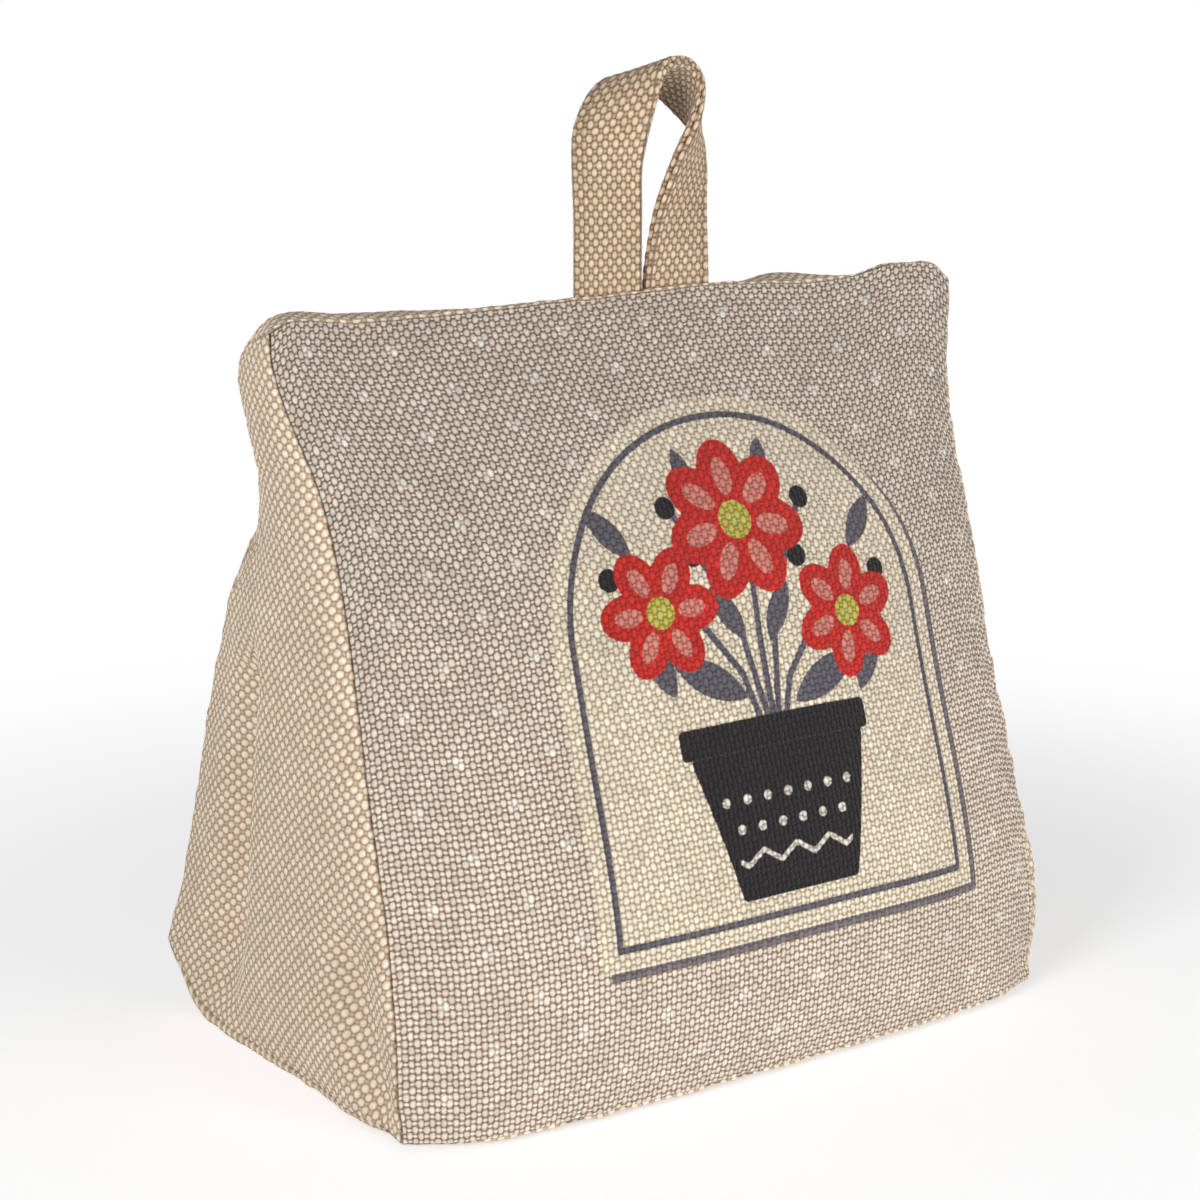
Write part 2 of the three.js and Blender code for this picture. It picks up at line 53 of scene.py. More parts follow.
# Waves of the seams: a share of the seam's length and an offset in millimetres.
RIDGE_WAVE = [
    (0, 0), (0.03, 2), (0.12, 0.7), (0.4, 1.6), (0.62, 2.7), (0.8, 1.7), (0.91, 4.3), (0.965, 3.8), (1, 0),
]
FRONT_SEAM_PULL = {
    -1: [
        (0, 0), (0.06, 1.2), (0.2, 3.6), (0.4, 4.6), (0.68, 6.2), (0.8, 4.8), (0.9, 0.8), (0.96, -0.6),
        (1, 0),
    ],
    1: [
        (0, 0), (0.06, -0.6), (0.17, -1.2), (0.3, 0.2), (0.42, 2), (0.5, 2.8), (0.65, 3.4), (0.78, 5.2),
        (0.9, 3.6), (0.96, 1.2), (1, 0),
    ],
}
BACK_SEAM_PULL = [
    (0, 0), (0.1, 2.4), (0.25, 4.4), (0.45, 6.2), (0.6, 6.8), (0.71, 6.4), (0.8, 4.6), (0.9, 2), (1, 0),
]
BACK_SEAM_REACH = [
    (0, 0), (0.1, 2), (0.25, 6), (0.4, 9.6), (0.6, 9.8), (0.71, 3.6), (0.8, 5), (0.88, 10.4), (0.935, 12.4),
    (0.975, 9), (1, 0),
]
BACK_MIDDLE_REACH = [
    (0, 0), (0.1, 2), (0.3, 6), (0.5, 8.5), (0.75, 11), (0.88, 12), (0.935, 12), (0.975, 9), (1, 0),
]

# The same with an offset that is a share: of the roll over the top and of the bulge of the front hem.
TOP_ROLL_WAVE = [
    (0, 1.7), (0.05, 1.5), (0.1, 1.1), (0.2, 0.75), (0.3, 0.4), (0.42, 0.35), (0.55, 0.5), (0.65, 0.35),
    (0.7, 0.5), (0.76, 1.1), (0.82, 0.55), (0.87, 0), (1, 0),
]
FRONT_HEM_WAVE = [
    (0, 0), (0.06, 0.72), (0.14, 0.98), (0.35, 1), (0.6, 0.78), (0.76, 0.55), (0.92, 0.2), (1, 0),
]

# Hollows pressed into the cloth: two ends, as shares across and up the panel, with depth and half width.
SIDE_HOLLOWS = {
    -1: [((0.82, 0.05), (0.72, 0.5), 5, 8), ((0.14, 0.05), (0.16, 0.16), 2.4, 5)],
    1: [((0.8, 0.06), (0.76, 0.34), 4, 8), ((0.16, 0.06), (0.2, 0.2), 2, 6)],
}
BACK_HOLLOWS = [
    ((0.1, 0.1), (0.2, 0.38), 3.5, 9), ((0.9, 0.08), (0.82, 0.34), 3, 9), ((0.3, 0.93), (0.36, 0.8), 2, 8),
]

# Folds and puffs of the whole cover: the two ends of each, how far it moves the cloth and within what
# radius, in millimetres.
PULLS = [
    ((-80, -26, 32), (-80, -37, 7), (2.8, 0, 0), 5),
    ((-79, -37.5, 34), (-79, -43.5, 9), (-1.0, 0, 0), 3.6),
    ((-80, 19, 60), (-80, 22, 22), (2.0, 0, 0), 6),
    ((-82, 40, 8), (-80, -14, 3), (1.3, 0, 0), 8),
    ((78, -44, 6), (78.5, -37, 30), (-1.9, 0, 0), 3.2),
    ((80, -39.5, 4), (80.5, -34, 27), (2.4, 0, 0), 4.6),
    ((78.5, -45.5, 0), (78.5, -45.5, 3), (-2.0, 1.5, 0.9), 9),
    ((41, 2, 151), (41.5, 2, 151), (0, 0, -1.0), 4),
    ((60, 2, 151), (61.5, 2, 151), (0, 0, -1.1), 4),
]

# The floats of a weave, where a yarn passes over another: width and length of the upright ones, width and
# length of the level ones, as shares of the pitches, and the height of the level ones. The height of an
# upright one is 1, and the mesh goes no lower than the lowest gap.
GREIGE_FLOATS = (0.64, 0.72, 0.42, 0.64, 0.8)
GREIGE_TOP_FLOATS = (0.7, 0.78, 0.34, 0.56, 0.75)
CREAM_FLOATS = (0.78, 0.8, 0.6, 0.7, 0.66)
STRAP_FLOATS = (0.76, 0.77, 0.5, 0.62, 0.75)
LOWEST_GAP = -0.3

# How the yarns of a cloth vary: the range of their tones, how far they wander in pitches, and the height
# below which the painted shade of the gaps starts to show.
GREIGE_TONES = (0.8, 0.55, 0.85)
CREAM_TONES = (0.45, 0.4, 0.86)
STRAP_TONES = (0.5, 0.4, 0.98)

# Shares up and across a panel of the lines that its yarns are counted along, and points measured on a line.
LEVEL_LINE, UPRIGHT_LINE = 0.4, 0.5
LINE_POINTS = 401

# Puckers beside a seam: their depth, how far they reach, and pairs of waves per millimetre and strength.
PUCKER_DEPTH, PUCKER_REACH = 0.45, 7.0
PUCKER_WAVES = ((0.16, 1.0), (0.37, 0.5))

# A seam's direction isn't measured nearer to its ends than these shares, nor a side panel's at its tip.
SEAM_ENDS = (0.01, 0.97)
SIDE_TIP = 0.985

# The side panels' mesh, in millimetres: how far apart the points of its seams lie, the rows of points beside
# them, and where the lattice of the weave starts. The upright yarns lean by a share of their height, and
# lengths over the cloth are measured along a number of lines.
SIDE_SEAM_STEP = 0.5
SIDE_ROWS = (0.35, 0.8)
SIDE_LATTICE_START = 1.1
SIDE_YARN_LEAN = -0.1
SIDE_LENGTH_LINES = 48

# How a point's shares on a side panel are found: rounds, the highest share up and the least depth. Then the
# distances at which a lattice point is on the panel, two points are one, and a point is on the seam.
SHARE_ROUNDS, TOP_SHARE, LEAST_DEPTH = 12, 0.9999, 1e-3
ON_PANEL, ONE_POINT, ON_SEAM = 0.05, 1e-5, 1e-4

# Points of the mesh for each pitch of the weave, on the sides and the strap.
POINTS_PER_PITCH = 4

# How full a panel is: powers across and up it, and shifts of its fullest part. A softer power rounds a
# panel from seam to seam, and a sharper one only close to its seams.
FRONT_FORM = (3, 2.6, 1, 0.85)
BACK_FORM = (5, 3, 1, 1)
SIDE_FORM = (2.6, 2.4, 0.8, 0.7)
SOFT = 3
SHARP = 8

# The print, in millimetres of its own drawing, from the middle of its foot. A leaf has its middle, turn,
# length and width, a flower its middle, radius, petals and turn, and a row of dots on the pot its count,
# first place and height.
FAR = 1e3
PRINT_PLACE, PRINT_SCALE = (87.0, 28.0), 1.12
ARCH_HALF, ARCH_TOP = 42.0, 96.0
ARCH_SHADOW = 1.6
RING_INSET, RING_HALF_WIDTH = 3.6, 0.6
STEMS = [
    [(0, 38), (0, 52), (0.6, 63), (0, 72)],
    [(-3, 38), (-5, 46), (-12, 56), (-18, 62)],
    [(3, 38), (5, 44), (12, 52), (19, 56)],
    [(-1.2, 38), (-4, 54), (-9, 66), (-13, 76)],
    [(1.2, 38), (4, 56), (10, 67), (15, 75)],
]
STEM_WIDTH = 1.3
LEAVES = [
    (-12, 46, 150, 17, 6), (13, 43, 25, 17, 6), (-22, 50, 110, 13, 5), (24, 45, 60, 13, 5),
    (5, 56, 60, 12, 4.4), (-6, 57, 120, 12, 4.4), (-27, 74, 125, 12, 4.6), (28, 70, 50, 12, 4.6),
    (-8, 83, 100, 9, 3.6), (9, 83, 75, 9, 3.6),
]
FLOWERS = [(0, 73, 14.6, 7, 90), (-20, 59, 12.0, 6, 60), (21, 54, 12.0, 6, 20)]
PETAL_PLACE, PETAL, INNER_PETAL, FLOWER_CENTRE = 0.55, (0.47, 0.34), (0.24, 0.13), 0.24
BERRIES, BERRY_RADIUS = [(-14, 77), (15.5, 75.5), (-29, 66), (30, 61), (-11, 68), (11.5, 65)], 2.1
POT, POT_ROUNDING = [(-12, 8), (12, 8), (18, 32), (-18, 32)], 1.0
POT_RIM, RIM_ROUNDING = [(-20, 33.6), (20, 33.6), (20, 37.4), (-20, 37.4)], 0.8
POT_DOT_ROWS = [(7, -13.5, 24.5), (6, -11.25, 19.5)]
POT_DOT_SPACING, POT_DOT_RADIUS = 4.5, 0.9
ZIGZAG = [(-14.6 + 3.65 * k, 13.0 if k % 2 else 15.4) for k in range(9)]
ZIGZAG_WIDTH, ZIGZAG_HALF = 0.9, 12.6

# Stations of the loop: sideways share of the feet's place, share of the rise, turn and lean in degrees.
LOOP_STATIONS = [
    (-1, 0, 180, 0), (-1, 0.35, 180, 0), (-1, 0.62, 175, 0), (-0.76, 0.83, 146, 6), (-0.25, 1, 114, 14),
    (0.75, 1, 92, 22), (1.35, 0.9, 78, 22), (1.58, 0.76, 54, 16), (1.42, 0.6, 35, 9), (1.15, 0.38, 18, 4),
    (1.02, 0.12, 4, 0), (1, 0, 0, 0),
]

# The strap's section, in millimetres: the line pressed beside its fold, and the slit at its open edge.
STRAP_PRESS_INSET, STRAP_PRESS_DEPTH, STRAP_PRESS_WIDTH = 0.7, 0.35, 0.35
STRAP_SLIT_DEPTH, STRAP_SLIT_SHADE = 0.6, 0.5
STRAP_FOLD_ANGLES = (22, 45, 68)
STRAP_EDGE_ANGLES, STRAP_EDGE_FULLNESS = (25, 60, 95, 130, 160), 1.5
LOOP_POINTS = 1601

# The weave in the materials: how yarns wander and thicken, with the noise's waves for each millimetre, and
# the heights at which colours change, as shares of a float's height: below them painted shade darkens the
# gaps and pits.
WANDER_WAVES, QUICK_WANDER = (0.26, 0.75), 0.6
SLUB_WAVES, SLUBS = 0.8, 0.5
LOWEST_SHADED, CROSSING_BLEND, GAP_DEEP, PIT_HEIGHTS = -0.6, 0.12, 0.05, (0.12, -0.3)

# A tone is noise read at a place for each yarn and float: how far apart neighbours are read, and the noise's
# waves along a yarn.
YARN_APART, ALONG_YARN, FLOAT_APART = 3.7, 0.3, (5.3, 4.1)

# Cloth finishes and painted shade. Distances are in millimetres on the cloth, but the bump's is in metres.
# Colours are light values, and a noise has its waves for each millimetre, its detail and its roughness. The
# pit, inked gap and seam colours are painted shade.
FIBRE_NOISE, CLOUD_NOISE = (2.6, 4.0, 0.8), (0.06, 3.0, 0.6)
FIBRE_STRENGTH, CLOUD_SHARE = 0.85, 0.4
PIT_SHADE_COLOUR, PIT_SHADE_SHARE = (0.06, 0.035, 0.02), 0.4
INKED_GAP_SHADE, CLOTH_IN_GAP_SHADE = (0.6, 0.49, 0.38), 0.15
SEAM_SHADE_COLOUR, SEAM_SHADE_WIDTH, SEAM_SHADE_DEPTH = (0.16, 0.10, 0.06), 0.45, 0.35
CLOTH_ROUGHNESS, CLOTH_SPECULAR = (0.86, 0.96), 0.25
SHEEN, SHEEN_ROUGHNESS = 0.12, 0.5
BUMP_STRENGTH, BUMP_DISTANCE, SPECKLE_HEIGHT = 0.9, 0.0006, 0.6

# Changes up the front panel, whose cloth is stretched more towards the top, and painted shade that darkens
# its yarns and gaps towards the top: where each starts and ends, and its values there, with the tint of that
# shade in the gaps.
FLOATS_CHANGE = (45.0, 115.0)
TOP_YARN_SHADE = (20.0, 150.0, 1.0, 0.78)
TOP_GAP_SHADE, TOP_GAP_SHADE_TINT = (20.0, 130.0, 1.0, 0.35), (1.0, 0.92, 0.82)

# Printed edges: how feathered and soft they are, with the noise's waves for each millimetre. The fields are
# printed in this order, each with its ink and its cover.
FEATHER_WAVES, PRINT_FEATHER, PRINT_SOFT_EDGE = 1.9, 0.35, 0.16
DOT_WAVES, DOT_RAGGED, DOT_SOFT_EDGE, DOT_COVER = 1.3, 0.7, 0.2, 0.97
PRINT_ORDER = [
    ("slate_under", "ink_slate", 0.9), ("cream", "ink_cream", 0.94), ("slate", "ink_slate", 1.0),
    ("black", "ink_black", 1.0), ("red", "ink_red", 1.0), ("pink", "ink_pink", 0.9),
    ("green", "ink_green", 0.92), ("white", "dots", 0.85),
]

# Filling, in metres: its mesh size and the gap that keeps it off the cover, then how its materials vary. A
# grain has its waves for each metre and its height, and dents their depth and size.
FILLING_VOXEL, FILLING_GAP = 0.003, 0.0004
FILLING_SHADE, FILLING_ROUGHNESS, FILLING_BUMP = 0.72, (0.8, 0.95), 0.5
SACK_GRAIN, SACK_DENTS = (900.0, 0.0003), (0.0006, 0.012)
FIBRE_GRAIN, FIBRE_DENTS = (260.0, 0.0008), (0.0012, 0.006)

# Stage, in metres and watts, with the camera's lens and sensor in millimetres. A lamp has its place, target,
# size, power and colour.
WARM_WHITE = (1.0, 0.98, 0.955)
MIDDLE = (0.0, 0.0, 0.07)
LAMPS = {
    "key_lamp": ((0.5, -1.25, 0.08), MIDDLE, 0.6, 8.3, WARM_WHITE),
    "low_lamp": ((0.12, -0.6, 0.0), (0.0, -0.05, 0.03), 0.3, 2.4, WARM_WHITE),
    "left_lamp": ((-1.15, -0.5, 0.45), MIDDLE, 0.5, 8.6, (1.0, 0.98, 0.95)),
}
# The sky's light at the horizon and overhead. The floor adds a lift where the camera sees it, and fades to
# white between two distances from the bag's middle.
SKY_LEVELS = (0.55, 0.14)
FLOOR_REACH = 4.0
FLOOR_COLOUR, FLOOR_LIFT, FLOOR_FADE = (0.925, 0.94, 0.965, 1), 0.45, (0.12, 0.34)
CAMERA_PLACE, CAMERA_TARGET = (-0.3258, -0.4906, 0.2201), (-0.0054, -0.0010, 0.0872)
CAMERA_LENS, CAMERA_SENSOR, CAMERA_CLIP = 87.9, 36.0, (0.01, 20.0)


class DoorStopSizes(bpy.types.PropertyGroup):
    """Sizes of the bag, its weave, its loop and its dots."""


SIZES = {
    "front_width": ("Front Width", "Between the front corners", 0.157),
    "back_width": ("Back Width", "Between the tips of the back corners", 0.165),
    "top_width": ("Top Width", "Between the ends of the ridge seam", 0.1635),
    "top_shift": ("Top Shift", "Of the ridge seam to the right of the base", 0.001),
    "depth": ("Depth", "Of the base, front corners to back corners", 0.091),
    "back_corner_reach": ("Back Corner Reach", "How far the back corners stick out past the depth", 0.002),
    "ridge_height": ("Ridge Height", "Of the ends of the ridge seam", 0.148),
    "ridge_setback": ("Ridge Setback", "Of the ridge seam behind the front corners", 0.0415),
    "front_corner_lift": ("Front Corner Lift", "Of the front corners off the floor", 0.001),
    "back_corner_lift": ("Back Corner Lift", "Of the back corners off the floor", 0.015),
    "hem_lift": ("Hem Lift", "Of the seams round the base", 0.0014),
    "hem_rim": ("Hem Rim", "Width of the base's edge that curls up", 0.007),
    "front_crown": ("Front Crown", "How far the filling pushes the front out", 0.012),
    "back_crown": ("Back Crown", "How far the filling pushes the back out", 0.007),
    "side_crown": ("Side Crown", "How far the filling pushes each side out", 0.005),
    "hem_bulge": ("Hem Bulge", "Of the front seam of the base", 0.0085),
    "back_hem_bulge": ("Back Hem Bulge", "Of the back seam of the base", 0.003),
    "back_hem_tuck": ("Back Hem Tuck", "Of the middle of that seam in from the corners", 0.004),
    "top_roll": ("Top Roll", "Of the back panel above the ridge seam", 0.0042),
    "top_roll_width": ("Top Roll Width", "How far down the back that roll reaches", 0.006),
    "base_roll": ("Base Roll", "Of the base out past its seams", 0.0024),
    "base_roll_width": ("Base Roll Width", "Of that roll", 0.0025),
    "side_hem_bulge": ("Side Hem Bulge", "Of the side seams of the base", 0.0012),
    "cloth": ("Cloth", "Thickness of the cover, lining included", 0.0012),
    "seam_gap": ("Seam Gap", "Between a piece and what it lies on", 0.0003),
    "seam_roll": ("Seam Roll", "Radius of the cloth where it turns in at a seam", 0.0006),
    "seam_tuck": ("Seam Tuck", "Width of the turned-in edge that shows in the seam", 0.0018),
    "front_warp_pitch": ("Front Warp Pitch", "Between upright yarns of the front", 0.00112),
    "front_weft_pitch": ("Front Weft Pitch", "Between level yarns of the front", 0.00131),
    "cream_warp_pitch": ("Cream Warp Pitch", "Between upright yarns of the other panels", 0.00136),
    "cream_weft_pitch": ("Cream Weft Pitch", "Between level yarns of the other panels", 0.0013),
    "relief": ("Weave Relief", "From the bottom of the weave to its top", 0.00026),
    "strap_width": ("Strap Width", "Of the lifting loop", 0.016),
    "strap_thickness": ("Strap Thickness", "Of the folded strap", 0.0024),
    "strap_feet_apart": ("Feet Apart", "Between the two ends of the strap", 0.0004),
    "strap_tail": ("Strap Tail", "Length of each end inside the seam", 0.008),
    "strap_warp_pitch": ("Strap Warp Pitch", "Across the strap", 0.00112),
    "strap_weft_pitch": ("Strap Weft Pitch", "Along the strap", 0.00137),
    "loop_rise": ("Loop Rise", "Of the strap's middle above the ridge seam", 0.0425),
    "loop_centre": ("Loop Centre", "Sideways place of the loop", 0.0045),
    "dot_spacing": ("Dot Spacing", "Between the rows of printed dots", 0.0180),
    "dot_radius": ("Dot Radius", "Of a printed dot", 0.00115),
}
for key, (label, told, size) in SIZES.items():
    DoorStopSizes.__annotations__[key] = FloatProperty(
        name=label, description=told, default=size, subtype="DISTANCE", unit="LENGTH", precision=5
    )


class DoorStopColours(bpy.types.PropertyGroup):
    """Colours of the yarns and of the print."""


# Display colours, from 0 to 255. The gap colours are painted shade between the yarns.
COLOURS = {
    "greige_warp": ("Greige Warp", "Upright yarns of the front", (244, 229, 212)),
    "greige_weft": ("Greige Weft", "Level yarns of the front", (255, 244, 230)),
    "greige_gap": ("Greige Gap Shade", "Between the yarns of the front", (130, 101, 74)),
    "cream_warp": ("Cream Warp", "Upright yarns of the sides, back and base", (255, 240, 220)),
    "cream_weft": ("Cream Weft", "Level yarns of the sides, back and base", (230, 200, 164)),
    "cream_gap": ("Cream Gap Shade", "Between the yarns of the sides, back and base", (142, 104, 68)),
    "strap_warp": ("Strap Warp", "Long yarns of the loop", (230, 208, 181)),
    "strap_weft": ("Strap Weft", "Cross yarns of the loop", (216, 184, 146)),
    "strap_gap": ("Strap Gap Shade", "Between the yarns of the loop", (96, 64, 36)),
    "dots": ("Dots", "Printed dots", (255, 252, 246)),
    "ink_cream": ("Print Ground", "Pale shape under the motif", (255, 246, 226)),
    "ink_slate": ("Print Slate", "Leaves, stems and edging", (106, 104, 118)),
    "ink_black": ("Print Black", "Pot and berries", (34, 32, 36)),
    "ink_red": ("Print Red", "Petals", (220, 48, 40)),
    "ink_pink": ("Print Pink", "Inner petals", (232, 150, 140)),
    "ink_green": ("Print Green", "Flower centres", (206, 208, 96)),
    "sack": ("Sack", "Inner sack of sand", (217, 212, 200)),
    "fibre": ("Fibre", "Stuffing", (242, 240, 234)),
}


def linear(colour):
    """A display colour, 0 to 255, as the shader's own light values."""
    shares = [c / 255 for c in colour]
    return tuple(s / 12.92 if s <= 0.04045 else ((s + 0.055) / 1.055) ** 2.4 for s in shares)


for key, (label, told, colour) in COLOURS.items():
    DoorStopColours.__annotations__[key] = FloatVectorProperty(
        name=label, description=told, default=linear(colour), subtype="COLOR", size=3, min=0, max=1
    )


# Shape of the bag, in millimetres


def wave(stations, t):
    """A smooth curve through pairs of share and value."""
    t = np.asarray(t, float)
    share = np.array([s[0] for s in stations], float)
    value = np.array([s[1] for s in stations], float)
    last = len(stations) - 1
    k = np.clip(np.searchsorted(share, t, side="left"), 1, last)
    before, after = np.maximum(k - 2, 0), np.minimum(k + 1, last)
    span = share[k] - share[k - 1]
    s = np.clip((t - share[k - 1]) / span, 0, 1)
    slope_in = (value[k] - value[before]) / (share[k] - share[before]) * span
    slope_out = (value[after] - value[k - 1]) / (share[after] - share[k - 1]) * span
    cube, square = s**3, s**2
    return (
        (2 * cube - 3 * square + 1) * value[k - 1]
        + (cube - 2 * square + s) * slope_in
        + (3 * square - 2 * cube) * value[k]
        + (cube - square) * slope_out
    )


def mixed(a, b, t):
    t = np.asarray(t, float)[..., None]
    return a + (b - a) * t


def lerp(a, b, t):
    return a + (b - a) * t


def dome(t, power):
    """0 at both ends of a panel and 1 over its middle."""
    return 1 - np.abs(2 * t - 1) ** power


def lip(distance):
    """0 at a seam, 1 at a distance of 1 from it, and falling away beyond."""
    return distance * np.exp(1 - distance)


def smoothstep(x, low, high):
    s = np.clip((x - low) / (high - low), 0, 1)
    return s * s * (3 - 2 * s)


def fullness(form, u, v):
    across, up, shift_across, shift_up = form
    return dome(u**shift_across, across) * dome(v**shift_up, up)


def apart(points, start, end):
    """Distances of points from the straight line between two ends."""
    run = end - start
    share = np.clip(((points - start) @ run) / (run @ run), 0, 1)
    return np.linalg.norm(points - start - share[..., None] * run, axis=-1)


def hollow(hollows, u, v, width, height):
    """How deep the hollows are at a point of a panel."""
    size = np.array([width, height])
    at = np.stack([u, v], -1) * size
    total = np.zeros(u.shape)
    for start, end, deep, wide in hollows:
        away = apart(at, np.array(start) * size, np.array(end) * size)
        total += deep * np.exp(-((away / wide) ** 2))
    return total * dome(u, SHARP) * dome(v, SHARP)


def normalised(a):
    return a / np.maximum(np.linalg.norm(a, axis=-1, keepdims=True), 1e-12)


class Bag:
    """The bag's seams and panels, as functions of shares along and across them."""

    def __init__(self, sizes):
        for key in SIZES:
            setattr(self, key, getattr(sizes, key) / MM)
        self.front_y = -self.depth / 2
        self.back_y = self.depth / 2 + self.back_corner_reach
        self.ridge_y = self.front_y + self.ridge_setback

    def corner(self, place, side):
        return np.array({
            "front": (side * self.front_width / 2, self.front_y, self.front_corner_lift),
            "back": (side * self.back_width / 2, self.back_y, self.back_corner_lift),
            "ridge": (side * self.top_width / 2 + self.top_shift, self.ridge_y, self.ridge_height),
        }[place])

    def ridge_seam(self, t):
        p = mixed(self.corner("ridge", -1), self.corner("ridge", 1), t)
        p[..., 2] += wave(RIDGE_WAVE, t)
        return p

    def front_seam(self, side, t):
        p = mixed(self.corner("front", side), self.corner("ridge", side), t)
        p[..., 0] -= side * wave(FRONT_SEAM_PULL[side], t)
        return p

    def back_seam(self, side, t):
        p = mixed(self.corner("back", side), self.corner("ridge", side), t)
        p[..., 0] -= side * wave(BACK_SEAM_PULL, t)
        p[..., 1] += wave(BACK_SEAM_REACH, t)
        return p

    def front_hem(self, t):
        p = mixed(self.corner("front", -1), self.corner("front", 1), t)
        p[..., 1] -= self.hem_bulge * wave(FRONT_HEM_WAVE, t)
        p[..., 2] = lerp(p[..., 2], self.hem_lift, dome(t, SHARP))
        return p

    def back_hem(self, t):
        p = mixed(self.corner("back", -1), self.corner("back", 1), t)
        p[..., 1] += self.back_hem_bulge * dome(t, 2) - self.back_hem_tuck * dome(t, SHARP)
        p[..., 2] = lerp(p[..., 2], self.hem_lift, dome(t, SHARP))
        return p

    def side_hem(self, side, t):
        p = mixed(self.corner("front", side), self.corner("back", side), t)
        straight = lerp(self.front_width / 2, self.back_width / 2, t**SHARP)
        p[..., 0] = side * (straight + self.side_hem_bulge * dome(t, 2))
        p[..., 2] = lerp(p[..., 2], self.hem_lift, dome(t, SHARP))
        return p

    def stretched(self, u, v, bottom, top, left, right):
        """The surface stretched between four seams."""
        nought, one = np.zeros_like(u), np.ones_like(u)
        up = mixed(bottom(u), top(u), v)
        over = mixed(left(v), right(v), u)
        flat = mixed(mixed(bottom(nought), bottom(one), u), mixed(top(nought), top(one), u), v)
        return up + over - flat

    def front(self, u, v):
        p = self.stretched(
            u, v, self.front_hem, self.ridge_seam,
            lambda t: self.front_seam(-1, t), lambda t: self.front_seam(1, t),
        )
        out = normalised(np.array([0, -self.ridge_height, self.ridge_setback]))
        return p + out * (self.front_crown * fullness(FRONT_FORM, u, v))[..., None]

    def back(self, u, v):
        p = self.stretched(
            u, v, self.back_hem, self.ridge_seam,
            lambda t: self.back_seam(-1, t), lambda t: self.back_seam(1, t),
        )
        out = normalised(np.array([0, self.ridge_height, self.back_y - self.ridge_y]))
        p[..., 1] += (wave(BACK_MIDDLE_REACH, v) - wave(BACK_SEAM_REACH, v)) * dome(u, SOFT)
        from_ridge = (1 - v) * self.ridge_height / self.top_roll_width
        p[..., 2] += self.top_roll * wave(TOP_ROLL_WAVE, u) * lip(from_ridge) * dome(u, SHARP)
        crown = self.back_crown * fullness(BACK_FORM, u, v)
        pressed = hollow(BACK_HOLLOWS, u, v, self.back_width, self.ridge_height)
        return p + out * (crown - pressed)[..., None]

    def side(self, side, u, v):
        apex = self.corner("ridge", side)
        p = self.stretched(
            u, v, lambda t: self.side_hem(side, t), lambda t: np.broadcast_to(apex, (*np.shape(t), 3)),
            lambda t: self.front_seam(side, t), lambda t: self.back_seam(side, t),
        )
        crown = self.side_crown * fullness(SIDE_FORM, u, v)
        p[..., 0] += side * (crown - hollow(SIDE_HOLLOWS[side], u, v, self.depth, self.ridge_height))
        return p

    def base(self, u, v):
        p = self.stretched(
            u, v, self.front_hem, self.back_hem,
            lambda t: self.side_hem(-1, t), lambda t: self.side_hem(1, t),
        )
        to_edge = np.minimum(np.minimum(u, 1 - u) * self.front_width, np.minimum(v, 1 - v) * self.depth)
        p[..., 2] = np.maximum(p[..., 2], 0) * (1 - smoothstep(to_edge, 0, self.hem_rim))
        roll = self.base_roll * lip(to_edge / self.base_roll_width)
        p[..., 0] += roll * np.sign(u - 0.5) * np.abs(2 * u - 1) ** SHARP * dome(v, SHARP)
        p[..., 1] += roll * np.sign(v - 0.5) * np.abs(2 * v - 1) ** SHARP * dome(u, SHARP)
        return p

    def panel(self, name):
        return {
            "front": self.front,
            "back": self.back,
            "left": lambda u, v: self.side(-1, u, v),
            "right": lambda u, v: self.side(1, u, v),
            "base": self.base,
        }[name]

    def facing(self, name, u, v, step=0.004):
        """The outward direction of a panel, from its slopes."""
        at = self.panel(name)
        lo_u, hi_u = np.clip(u - step, 0, 1), np.clip(u + step, 0, 1)
        top = SIDE_TIP if name in ("left", "right") else 1
        v = np.clip(v, 0, top)
        lo_v, hi_v = np.clip(v - step, 0, 1), np.clip(v + step, 0, 1)
        across = at(hi_u, v) - at(lo_u, v)
        up = at(u, hi_v) - at(u, lo_v)
        turned = -1 if name in ("back", "left", "base") else 1
        return normalised(np.cross(across, up)) * turned


# Seams: for an edge of a panel, the panel and the edge that it is sewn to.
SEAMS = {
    ("front", "u0"): ("left", "u0"), ("front", "u1"): ("right", "u0"),
    ("front", "v0"): ("base", "v0"), ("front", "v1"): ("back", "v1"),
    ("back", "u0"): ("left", "u1"), ("back", "u1"): ("right", "u1"),
    ("back", "v0"): ("base", "v1"), ("back", "v1"): ("front", "v1"),
    ("left", "u0"): ("front", "u0"), ("left", "u1"): ("back", "u0"), ("left", "v0"): ("base", "u0"),
    ("right", "u0"): ("front", "u1"), ("right", "u1"): ("back", "u1"), ("right", "v0"): ("base", "u1"),
    ("base", "u0"): ("left", "v0"), ("base", "u1"): ("right", "v0"),
    ("base", "v0"): ("front", "v0"), ("base", "v1"): ("back", "v0"),
}


def edge_place(edge, t, inset=0.02):
    """The shares of a point just inside an edge, at a share t of its length."""
    near = np.full_like(t, inset if edge[1] == "0" else 1 - inset)
    return (near, t) if edge[0] == "u" else (t, near)


def seam_inward(bag, name, edge, t):
    """The direction in which the cloth goes into a seam."""
    other, other_edge = SEAMS[(name, edge)]
    t = np.clip(t, *SEAM_ENDS)
    own = bag.facing(name, *edge_place(edge, t))
    met = bag.facing(other, *edge_place(other_edge, t))
    return -normalised(own + met)


def pulled(points):
    """The cover's points, in millimetres, after the folds and puffs."""
    moved = points.copy()
    for start, end, move, radius in PULLS:
        away = apart(points, np.array(start, float), np.array(end, float))
        moved += np.exp(-((away / radius) ** 2))[..., None] * np.array(move, float)
    return moved


